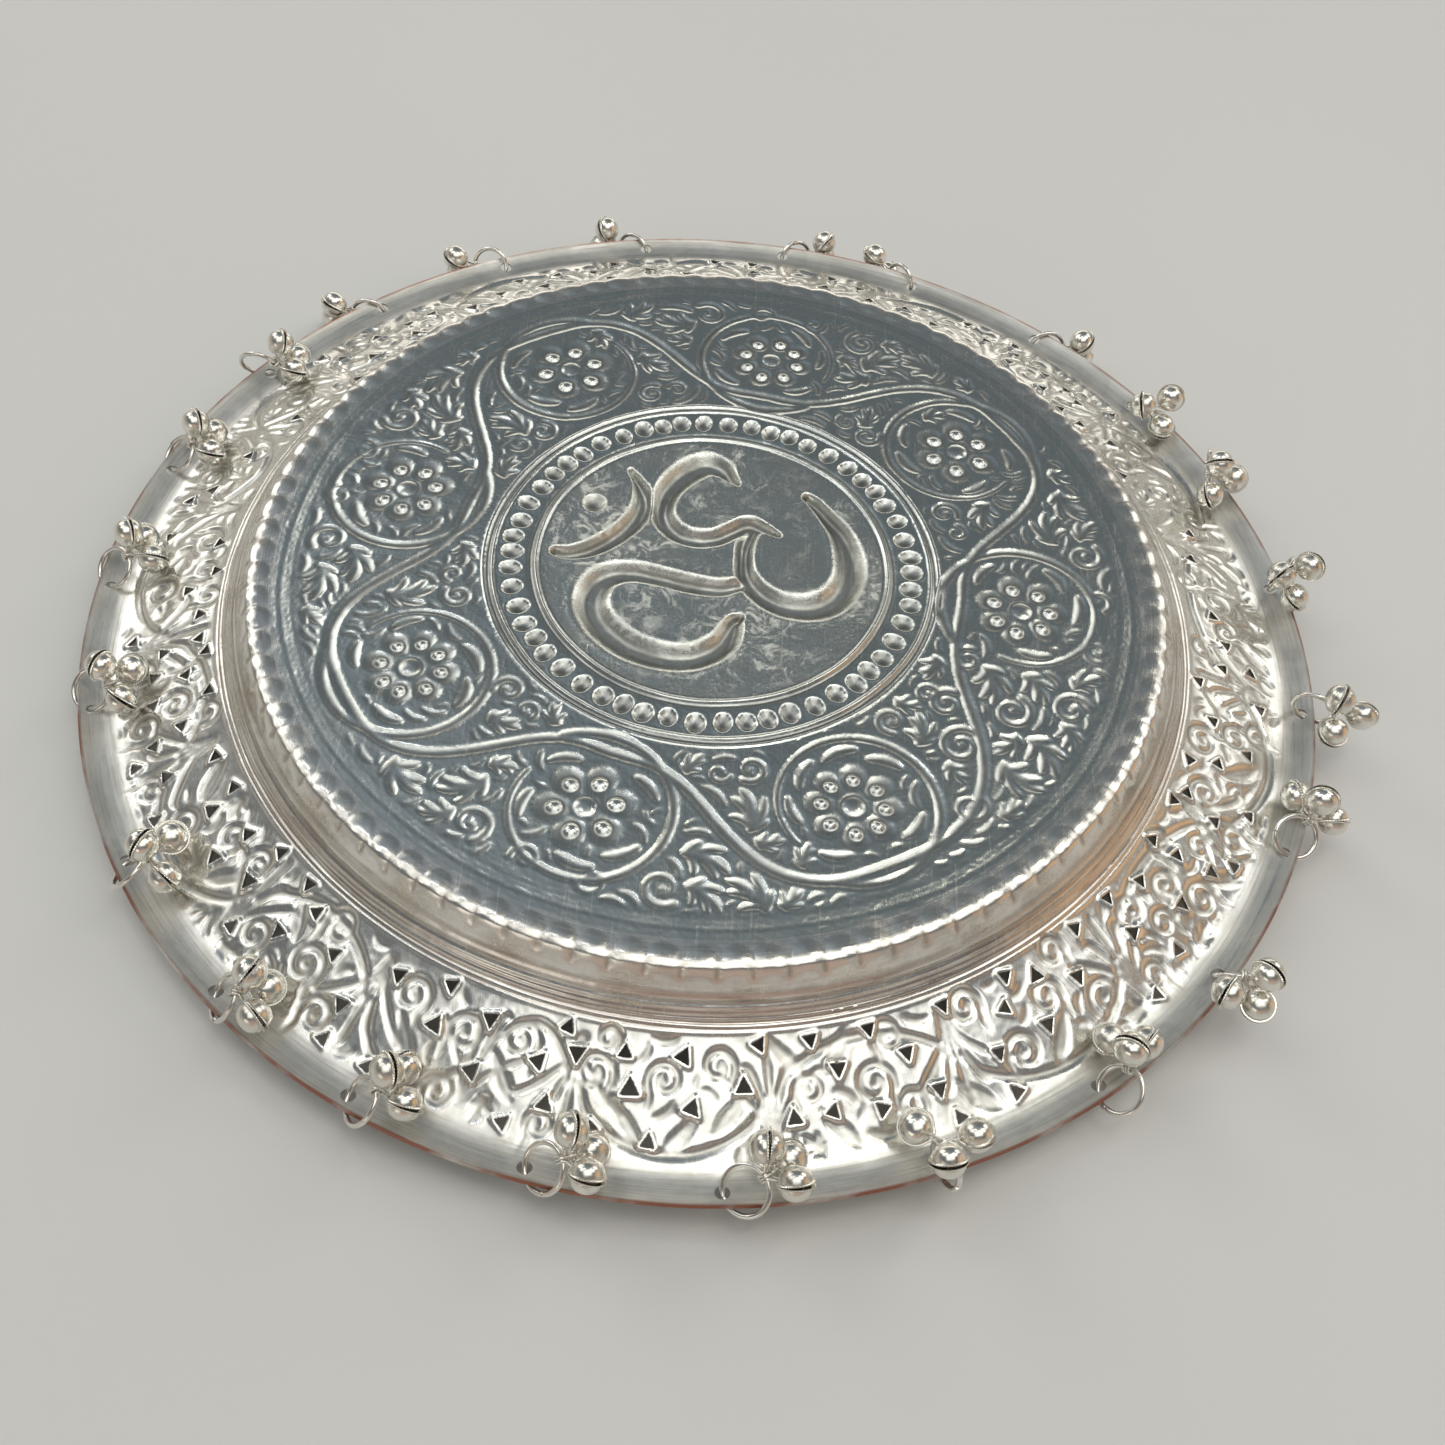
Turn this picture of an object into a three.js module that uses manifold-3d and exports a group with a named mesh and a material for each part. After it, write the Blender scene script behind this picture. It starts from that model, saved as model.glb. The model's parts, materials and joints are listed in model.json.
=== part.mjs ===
// Silver pooja thali (offering plate), lying face down with its base upward.
// One pierced sheet plate, jump rings threaded through small holes near the
// rim edge, and a cluster of three jingle bells on every ring.
// Millimetres and degrees. +Z is up, out of the underside of the base. The origin
// is the centre of that flat underside. The shapes are drawn with z counted up
// from a plane 1 mm under the sheet's lowest point, and the group lowers them all.
import * as THREE from "three";
import { mergeVertices } from "three/addons/utils/BufferGeometryUtils.js";
import ManifoldModule from "manifold-3d";

// ---- plate dimensions ---------------------------------------------------
const RIM_R = 152.4; // outer radius of the plate, 12 inch size
const BASE_Z = 23.0; // height of the base's flat underside
const INSIDE_BASE_Z = 22.2; // height of the sheet's other face there
const BASE_R = 111.6; // radius of the base at its rounded corner
const FOOT_R = 119.0; // foot of the wall, where the flange starts
const STEP_R = 145.4; // raised line between pierced flange and plain band
const PLATE_SEGMENTS = 69;

const HOLE_CIRCLE_R = RIM_R - 3.2; // circle of the rim holes' centres
const HOLE_R = 1.9;
const HOLE_SIDES = 8;
const HOLE_Z = 1.74; // middle of the sheet at the rim holes
const DRILL_LENGTH = 6;
const DRILL_Z = 2; // middle of the drill
const PIERCING_CUT_HEIGHT = 14; // from z = 0 to above the foot of the wall

// The sheet's upper face from the axis outward, as [radius, z].
const OUTER_PROFILE = [
  [0, BASE_Z], [107.6, BASE_Z],
  [110.2, 22.5], [BASE_R, 21.0], [113.4, 18.0], [115.4, 14.8], [117.0, 12.9],
  [FOOT_R, 11.7], [131.5, 6.7], [144.0, 2.0], [STEP_R, 2.3], [146.8, 1.8],
  [149.6, 2.2], [RIM_R, 3.5],
];
// Its lower face from the rim back to the axis, as [radius, z].
const INNER_PROFILE = [
  [152.2, 2.7], [149.65, 1.4], [146.8, 1.0], [144.0, 1.2], [131.2, 5.9], [118.7, 10.9],
  [116.5, 12.3], [114.7, 14.4], [112.7, 17.6], [110.8, 20.7], [109.5, 21.8],
  [107.4, INSIDE_BASE_Z], [0, INSIDE_BASE_Z],
];

// Triangular piercings of the flange, as [angle round the plate, radius of the
// middle, turn of the first corner from the along-rim direction toward outward, side].
// This run of piercings comes twice, the second time turned by REPEAT_ANGLE.
const REPEAT_ANGLE = 151.3;
const REPEATED_PIERCINGS = [
  [33.0, 128.0, 27, 3.0], [37.1, 123.7, 44, 3.0], [38.2, 140.4, -42, 3.0], [40.6, 123.3, -27, 3.0],
  [41.1, 132.3, 30, 3.0], [42.8, 121.6, -42, 3.0], [43.8, 134.5, 26, 3.0], [45.1, 126.7, -17, 3.0],
  [47.3, 135.1, -3, 3.1], [48.5, 121.6, -45, 3.0], [51.4, 129.2, 4, 3.0], [52.2, 136.3, -11, 3.0],
  [53.6, 141.5, 42, 3.0], [56.3, 135.3, 42, 3.2], [57.2, 123.7, -48, 3.0], [60.0, 140.7, 21, 3.0],
  [62.0, 122.7, -55, 3.0], [62.8, 129.0, 38, 3.4], [67.4, 133.1, -47, 3.3], [67.8, 124.9, 60, 3.1],
  [72.0, 130.2, -40, 3.6], [72.1, 121.6, 57, 3.0], [74.2, 138.4, 35, 3.0], [77.1, 121.6, -37, 3.0],
  [78.0, 141.1, 34, 3.0], [78.2, 132.3, -24, 3.2], [79.8, 124.5, 51, 3.0], [84.1, 128.4, -56, 3.0],
  [87.6, 135.2, -40, 3.4], [88.0, 142.4, 42, 3.1], [90.8, 124.6, -50, 3.2], [92.6, 142.4, 43, 3.0],
  [96.0, 121.6, -51, 3.0], [96.2, 129.7, 39, 3.7], [100.9, 124.5, -46, 3.4], [101.0, 134.8, 58, 3.6],
  [105.0, 141.8, -55, 3.1], [106.4, 129.2, -60, 3.5], [108.0, 136.5, 32, 3.4],
  [108.3, 121.6, 40, 3.0], [109.7, 125.9, -38, 3.7], [112.3, 138.9, 6, 3.0],
  [114.1, 124.2, 28, 3.0], [115.0, 130.8, 25, 4.1], [117.1, 140.1, 34, 3.2],
  [119.6, 123.9, 54, 3.5], [120.6, 133.4, 48, 3.5], [125.2, 129.4, 30, 3.6],
  [126.8, 121.6, -54, 3.0], [129.5, 135.8, 27, 3.3], [131.8, 121.6, -34, 3.0],
  [132.9, 135.5, 55, 3.0], [134.0, 127.7, -24, 3.4], [137.2, 136.8, -9, 3.2],
  [137.7, 121.6, -31, 3.0], [140.7, 127.8, -29, 3.2], [142.6, 136.1, -25, 3.2],
  [143.5, 142.4, 14, 3.0], [145.7, 121.6, -34, 3.0],
];
const SINGLE_PIERCINGS = [
  [3.9, 128.2, -8, 3.0], [12.7, 127.6, 23, 3.0], [17.1, 131.8, 20, 3.0], [26.7, 121.6, -36, 3.0],
  [148.7, 142.3, 1, 3.6], [155.0, 126.0, 29, 3.0], [162.5, 130.0, -49, 3.0],
  [168.3, 133.6, -25, 3.3], [169.8, 138.7, -45, 3.0], [175.2, 138.8, 13, 3.0],
  [177.5, 123.2, 43, 3.0], [182.1, 121.6, 35, 3.0],
  [300.3, 142.2, 6, 3.4], [300.3, 134.1, -22, 3.0], [302.8, 127.0, -60, 3.0],
  [304.4, 121.6, -14, 3.0], [305.9, 133.8, -21, 3.4], [307.4, 124.5, 35, 3.4],
  [311.2, 129.4, -17, 3.4], [314.1, 121.6, -7, 3.0], [316.8, 142.4, -59, 3.0],
  [319.1, 130.2, 4, 3.3], [319.5, 121.6, -24, 3.0], [321.6, 139.4, 47, 3.0],
  [324.0, 124.4, -10, 3.0], [325.6, 134.4, -33, 3.3], [329.0, 121.6, 8, 3.0],
  [329.6, 127.9, -16, 3.0], [330.8, 136.2, -34, 3.1], [333.1, 140.1, 36, 3.0],
  [335.1, 121.6, -47, 3.0], [336.1, 132.1, 23, 3.0], [337.1, 123.8, -7, 3.0],
  [339.3, 139.3, 18, 3.0], [341.3, 122.0, 59, 3.0], [343.0, 128.9, 2, 3.0],
  [346.2, 135.9, 25, 3.1], [348.2, 126.0, 41, 3.0], [352.9, 138.7, 49, 3.0],
  [352.9, 121.6, 41, 3.0], [356.3, 128.5, 35, 3.0], [357.3, 136.6, 3, 3.1],
  [360.0, 130.4, 53, 3.0],
];

// ---- ring and bell dimensions -------------------------------------------
const RING_R = 5.0; // mean radius of a jump ring
const RING_WIRE_R = 0.5;
const RING_WIRE_SIDES = 5;
const RING_SEGMENTS = 15;

const EYE_R = 1.25; // mean radius of a bell's wire eye
const EYE_WIRE_R = 0.38;
const EYE_PITCH = 0.62; // the three eyes sit side by side on the ring
const COLLAR_SEGMENTS = 8;

const BELL_REACH = 6.5; // eye centre to bell centre
const BELL_R = 3.75;
const BELL_SEGMENTS = 7;
const NECK_END_R = 0.42;
// Bell from its far end to the start of the neck, as [radius, distance from the
// bell's centre toward the eye].
const BELL_PROFILE = [[0, -BELL_R], [2.7, -2.6], [BELL_R, 0], [2.6, 2.7], [0.55, 4.1]];

// Every cluster, as [angle of its rim hole, ring centre from the hole, normal of
// the ring's plane, direction from ring centre to eye,
//   [directions in which the three bells hang]].
// The vectors are [outward, along the rim, up] at the hole.
const CLUSTERS = [
  [9.80, [2.80, 2.04, 3.60], [0.7597, -0.6006, -0.2493], [-0.2610, -0.6327, 0.7291],
    [[0.580, -0.372, 0.725], [-0.555, -0.556, 0.619], [0.172, -0.970, -0.171]]],
  [24.65, [0.82, 3.13, 3.81], [0.8235, -0.5121, 0.2442], [-0.5585, -0.6562, 0.5073],
    [[-0.122, -0.480, 0.869], [0.714, -0.695, 0.086], [-0.457, -0.866, -0.204]]],
  [38.50, [0.84, -4.51, 1.98], [-0.4811, -0.4256, -0.7664], [-0.5382, -0.5467, 0.6414],
    [[0.606, -0.367, 0.706], [-0.118, -0.982, -0.150], [-0.658, -0.204, 0.725]]],
  [52.76, [2.49, -3.55, -2.50], [-0.7228, -0.6570, 0.2142], [0.6780, -0.7342, 0.0360],
    [[-0.567, -0.747, -0.346], [0.586, -0.679, -0.442], [0.122, -0.779, 0.615]]],
  [68.81, [2.35, 4.34, -0.79], [0.8686, -0.4871, -0.0907], [0.4873, 0.8730, -0.0216],
    [[-0.567, 0.615, -0.549], [0.699, 0.277, -0.659], [0.267, 0.917, 0.298]]],
  [84.56, [2.51, -3.94, -1.80], [-0.7168, -0.6102, 0.3375], [0.5444, -0.7921, -0.2761],
    [[-0.593, -0.793, -0.142], [0.647, -0.697, -0.309], [0.194, -0.637, 0.746]]],
  [100.71, [2.47, 3.79, -2.13], [0.7283, -0.6284, -0.2732], [0.6148, 0.7754, -0.1444],
    [[-0.647, 0.753, -0.122], [0.503, 0.786, -0.360], [0.142, 0.582, 0.800]]],
  [117.47, [3.17, 3.85, -0.37], [0.6555, -0.5872, -0.4749], [0.5869, 0.7918, -0.1689],
    [[-0.696, 0.557, -0.454], [0.525, 0.595, -0.608], [0.033, 0.874, 0.485]]],
  [133.02, [2.65, 3.38, -2.57], [0.7289, -0.6717, -0.1323], [0.6835, 0.7026, 0.1982],
    [[0.710, 0.531, -0.463], [-0.482, 0.749, -0.456], [0.092, 0.794, 0.601]]],
  [148.77, [1.44, 2.09, 4.31], [0.4519, -0.8524, 0.2630], [-0.8863, -0.3955, 0.2410],
    [[-0.190, -0.377, 0.907], [-0.991, -0.089, 0.104], [-0.288, -0.955, -0.066]]],
  [165.72, [-0.08, -4.41, 2.35], [-0.4508, -0.4131, -0.7913], [-0.6571, -0.4465, 0.6074],
    [[-0.483, -0.871, -0.089], [-0.203, -0.260, 0.944], [-0.955, 0.253, 0.154]]],
  [181.87, [-0.20, -4.28, 2.58], [-0.4726, -0.4394, -0.7639], [-0.7210, -0.3057, 0.6219],
    [[-0.455, -0.888, -0.058], [-0.166, -0.330, 0.929], [-0.979, 0.137, 0.150]]],
  [196.83, [-0.08, -4.37, 2.42], [-0.4533, -0.4250, -0.7835], [-0.8910, 0.1930, 0.4109],
    [[0.017, 0.021, 1.000], [-0.899, -0.306, 0.312], [-0.479, 0.839, 0.259]]],
  [213.98, [0.32, 4.06, 2.90], [0.4186, -0.5494, 0.7231], [-0.7882, 0.1758, 0.5898],
    [[-0.308, 0.951, -0.027], [-0.032, 0.175, 0.984], [-0.972, -0.198, 0.129]]],
  [229.43, [0.06, 3.91, 3.12], [0.5707, -0.5171, 0.6379], [-0.3289, 0.5679, 0.7545],
    [[0.020, 0.999, 0.040], [-0.868, 0.426, -0.255], [-0.501, 0.248, 0.829]]],
  [244.08, [0.50, 3.92, 3.06], [0.4024, -0.5940, 0.6966], [-0.5157, 0.4816, 0.7086],
    [[-0.076, 0.993, 0.087], [-0.367, 0.246, 0.897], [-0.945, 0.307, -0.109]]],
  [259.23, [0.07, 4.11, 2.85], [0.5008, -0.4992, 0.7071], [-0.2779, 0.6809, 0.6776],
    [[0.351, 0.860, 0.371], [-0.625, 0.733, -0.270], [-0.540, 0.165, 0.825]]],
  [274.49, [0.29, 4.52, 2.11], [0.4715, -0.3976, 0.7871], [-0.3217, 0.7535, 0.5733],
    [[0.314, 0.796, 0.517], [-0.629, 0.774, -0.075], [-0.529, 0.064, 0.846]]],
  [291.34, [2.48, 0.61, 4.30], [0.0836, -0.9922, 0.0922], [-0.4509, 0.0449, 0.8914],
    [[0.626, -0.370, 0.687], [0.000, 0.998, 0.063], [-0.777, -0.616, -0.131]]],
  [306.69, [3.74, 2.01, 2.64], [-0.1541, -0.6686, 0.7275], [-0.4605, 0.7001, 0.5458],
    [[-0.289, -0.062, 0.955], [-0.275, 0.911, 0.308], [-0.988, 0.154, 0.013]]],
  [322.34, [3.72, 0.68, 3.28], [0.5427, -0.6950, -0.4716], [0.2283, -0.4183, 0.8791],
    [[0.514, -0.071, 0.855], [0.853, -0.422, -0.306], [-0.026, -0.981, 0.192]]],
  [337.30, [1.44, 4.24, 2.22], [0.3008, -0.5197, 0.7996], [0.2351, 0.8530, 0.4659],
    [[0.761, 0.614, -0.211], [0.109, 0.297, 0.949], [-0.566, 0.822, -0.060]]],
  [353.85, [1.89, -0.98, 4.52], [-0.3004, -0.9504, -0.0802], [0.7119, -0.2794, 0.6443],
    [[0.972, -0.199, 0.128], [0.030, -0.958, -0.285], [-0.041, -0.441, 0.896]]],
];

// ---- materials ----------------------------------------------------------
const silver = (color, roughness) =>
  new THREE.MeshStandardMaterial({ color, roughness, metalness: 1.0 });
const plateSilver = silver(0xc9c8c2, 0.2);
const wireSilver = silver(0xd8d4ca, 0.15);
const bellSilver = silver(0xd3cfc6, 0.18);

// ---- solids -------------------------------------------------------------
const wasm = await ManifoldModule();
wasm.setup();

const UP = new THREE.Vector3(0, 0, 1);
const { degToRad } = THREE.MathUtils;

function toSolid(geometry) {
  // Normals and uvs would keep the vertices along a seam apart.
  geometry.deleteAttribute("normal");
  geometry.deleteAttribute("uv");
  const merged = mergeVertices(geometry, 1e-4);
  const corners = merged.index.array;
  // Drop the faces that collapse on the axis of a lathe.
  const kept = [];
  for (let i = 0; i < corners.length; i += 3) {
    const [a, b, c] = corners.slice(i, i + 3);
    if (a !== b && b !== c && a !== c) kept.push(a, b, c);
  }
  return new wasm.Manifold(new wasm.Mesh({
    numProp: 3,
    vertProperties: merged.attributes.position.array,
    triVerts: new Uint32Array(kept),
  }));
}

function toGeometry(manifold) {
  const mesh = manifold.getMesh();
  const geometry = new THREE.BufferGeometry();
  geometry.setAttribute("position", new THREE.Float32BufferAttribute(mesh.vertProperties, 3));
  geometry.setIndex(new THREE.Uint32BufferAttribute(mesh.triVerts, 1));
  geometry.computeVertexNormals();
  return geometry;
}

// Turns [radius, z] points about the z axis.
function latheAboutZ(profile, segments) {
  const points = profile.map(([radius, z]) => new THREE.Vector2(radius, z));
  return new THREE.LatheGeometry(points, segments).rotateX(Math.PI / 2);
}

// Matrix that stands local z on a direction at a place, with local x toward xHint.
function frameAt(place, direction, xHint) {
  const z = direction.clone().normalize();
  const x = xHint.clone().addScaledVector(z, -xHint.dot(z)).normalize();
  const y = new THREE.Vector3().crossVectors(z, x);
  return new THREE.Matrix4().makeBasis(x, y, z).setPosition(place);
}

// ---- plate --------------------------------------------------------------
function piercingCut([angle, radius, turn, side]) {
  const cornerR = side / Math.sqrt(3);
  const corners = [0, 120, 240].map((step) => {
    const t = degToRad(turn + step);
    return new THREE.Vector2(cornerR * Math.sin(t), cornerR * Math.cos(t));
  });
  const prism = new THREE.ExtrudeGeometry(new THREE.Shape(corners), {
    depth: PIERCING_CUT_HEIGHT,
    bevelEnabled: false,
  });
  return toSolid(prism.translate(radius, 0, 0).rotateZ(degToRad(angle)));
}

function rimHoleCut([angle]) {
  const drill = new THREE.CylinderGeometry(HOLE_R, HOLE_R, DRILL_LENGTH, HOLE_SIDES);
  drill.rotateX(Math.PI / 2);
  drill.translate(HOLE_CIRCLE_R, 0, DRILL_Z);
  return toSolid(drill.rotateZ(degToRad(angle)));
}

function makePlate() {
  // Reversed, so that the faces look out of the metal.
  const profile = [...OUTER_PROFILE, ...INNER_PROFILE].reverse();
  const piercings = [
    ...SINGLE_PIERCINGS,
    ...REPEATED_PIERCINGS,
    ...REPEATED_PIERCINGS.map(([angle, ...rest]) => [angle + REPEAT_ANGLE, ...rest]),
  ];
  let plate = toSolid(latheAboutZ(profile, PLATE_SEGMENTS));
  for (const cut of [...piercings.map(piercingCut), ...CLUSTERS.map(rimHoleCut)]) {
    plate = plate.subtract(cut);
  }
  return toGeometry(plate);
}

// ---- rings and bells ----------------------------------------------------
// Turns a row of CLUSTERS into places and directions in the plate's frame.
function placeCluster([angle, centreOffset, ringNormal, eyeDirection, bellDirections]) {
  const turned = (vector) =>
    new THREE.Vector3(...vector).applyAxisAngle(UP, degToRad(angle));
  const hole = turned([HOLE_CIRCLE_R, 0, HOLE_Z]);
  return {
    hole,
    centre: turned(centreOffset).add(hole),
    normal: turned(ringNormal).normalize(),
    eyeWay: turned(eyeDirection).normalize(),
    bellWays: bellDirections.map((way) => turned(way).normalize()),
  };
}

function makeRing({ hole, centre, normal }) {
  const torus = new THREE.TorusGeometry(RING_R, RING_WIRE_R, RING_WIRE_SIDES, RING_SEGMENTS);
  torus.applyMatrix4(frameAt(centre, normal, hole.clone().sub(centre)));
  return toGeometry(toSolid(torus));
}

// The three wire eyes, joined in one collar round the ring's wire.
function makeCollar(eye, tangent, eyeWay) {
  const inner = EYE_R - EYE_WIRE_R;
  const outer = EYE_R + EYE_WIRE_R;
  const half = EYE_PITCH + EYE_WIRE_R;
  const profile = [[inner, -half], [outer, -half], [outer, half], [inner, half], [inner, -half]];
  const collar = latheAboutZ(profile, COLLAR_SEGMENTS);
  return toSolid(collar.applyMatrix4(frameAt(eye, tangent, eyeWay)));
}

// Pear-shaped bell whose neck reaches the outer side of the collar.
function makeBell(eye, tangent, way) {
  const acrossCollar = way.clone().addScaledVector(tangent, -way.dot(tangent)).normalize();
  const neckEnd = eye.clone().addScaledVector(acrossCollar, EYE_R);
  const bellCentre = eye.clone().addScaledVector(way, BELL_REACH);
  const axis = neckEnd.sub(bellCentre);
  const length = axis.length();
  const profile = [...BELL_PROFILE, [NECK_END_R, length], [0, length]];
  const bell = latheAboutZ(profile, BELL_SEGMENTS);
  return toSolid(bell.applyMatrix4(frameAt(bellCentre, axis, tangent)));
}

function makeBellCluster({ centre, normal, eyeWay, bellWays }) {
  const eye = centre.clone().addScaledVector(eyeWay, RING_R);
  const tangent = new THREE.Vector3().crossVectors(normal, eyeWay);
  let cluster = makeCollar(eye, tangent, eyeWay);
  bellWays.forEach((way, i) => {
    const bellEye = eye.clone().addScaledVector(tangent, (i - 1) * EYE_PITCH);
    cluster = cluster.add(makeBell(bellEye, tangent, way));
  });
  return toGeometry(cluster);
}

// ---- assembly -----------------------------------------------------------
const group = new THREE.Group();
group.name = "offering_plate";
group.position.z = -BASE_Z;

function addPiece(name, geometry, material) {
  const piece = new THREE.Mesh(geometry, material);
  piece.name = name;
  group.add(piece);
}

addPiece("plate", makePlate(), plateSilver);
CLUSTERS.map(placeCluster).forEach((cluster, i) => {
  const id = String(i + 1).padStart(2, "0");
  addPiece("jump_ring_" + id, makeRing(cluster), wireSilver);
  addPiece("bell_cluster_" + id, makeBellCluster(cluster), bellSilver);
});

export default group;
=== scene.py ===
import bpy
import json
import math
import numpy as np
from mathutils import Vector, Matrix

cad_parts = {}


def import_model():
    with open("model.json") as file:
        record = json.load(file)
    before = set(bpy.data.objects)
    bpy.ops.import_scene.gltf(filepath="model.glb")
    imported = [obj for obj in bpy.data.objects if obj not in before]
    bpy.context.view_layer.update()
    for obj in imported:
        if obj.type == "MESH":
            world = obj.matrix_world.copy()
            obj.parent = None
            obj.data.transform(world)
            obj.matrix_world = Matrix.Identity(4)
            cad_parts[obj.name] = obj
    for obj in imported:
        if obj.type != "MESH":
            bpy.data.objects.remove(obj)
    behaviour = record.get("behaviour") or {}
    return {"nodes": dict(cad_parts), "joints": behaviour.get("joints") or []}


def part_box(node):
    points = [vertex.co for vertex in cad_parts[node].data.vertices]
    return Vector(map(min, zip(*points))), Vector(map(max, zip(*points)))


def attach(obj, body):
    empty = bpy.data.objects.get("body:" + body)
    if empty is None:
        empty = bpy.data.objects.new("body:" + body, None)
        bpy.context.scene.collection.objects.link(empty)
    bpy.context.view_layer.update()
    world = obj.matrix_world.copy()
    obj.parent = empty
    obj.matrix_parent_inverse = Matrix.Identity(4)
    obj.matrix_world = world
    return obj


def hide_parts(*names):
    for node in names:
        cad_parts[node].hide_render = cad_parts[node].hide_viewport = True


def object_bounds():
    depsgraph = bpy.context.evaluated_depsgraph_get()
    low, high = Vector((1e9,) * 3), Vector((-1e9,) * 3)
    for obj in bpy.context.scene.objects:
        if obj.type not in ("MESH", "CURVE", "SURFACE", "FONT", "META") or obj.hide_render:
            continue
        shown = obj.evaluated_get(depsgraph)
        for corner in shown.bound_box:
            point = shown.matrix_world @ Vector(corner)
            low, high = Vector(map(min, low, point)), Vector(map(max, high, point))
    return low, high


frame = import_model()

cad_lo, cad_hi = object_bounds()
MM = 0.001
scene = bpy.context.scene

# =============================================================================
# Dimensions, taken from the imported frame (mm)
# =============================================================================
plate_lo, plate_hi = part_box("plate")
RIM = round(plate_hi.x / MM, 3)            # outer radius of the plate
TOP = round(plate_hi.z / MM, 3)            # height of the flat base
SHEET = 0.8                                # thickness of the sheet
WALL = [(0, TOP), (60, TOP), (104, TOP), (108.4, TOP - 0.01), (110.3, TOP - 0.34), (111.6, TOP - 1.9),
        (113.4, TOP - 5.0), (115.4, TOP - 8.2), (117.0, TOP - 10.1), (119.0, TOP - 11.3),
        (131.5, TOP - 16.3), (144.0, TOP - 21.0), (146.6, TOP - 21.35), (149.2, TOP - 21.0),
        (151.2, TOP - 20.25), (RIM, TOP - 19.7)]

JOINTS = {j["name"]: j for j in frame["joints"]}

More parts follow.
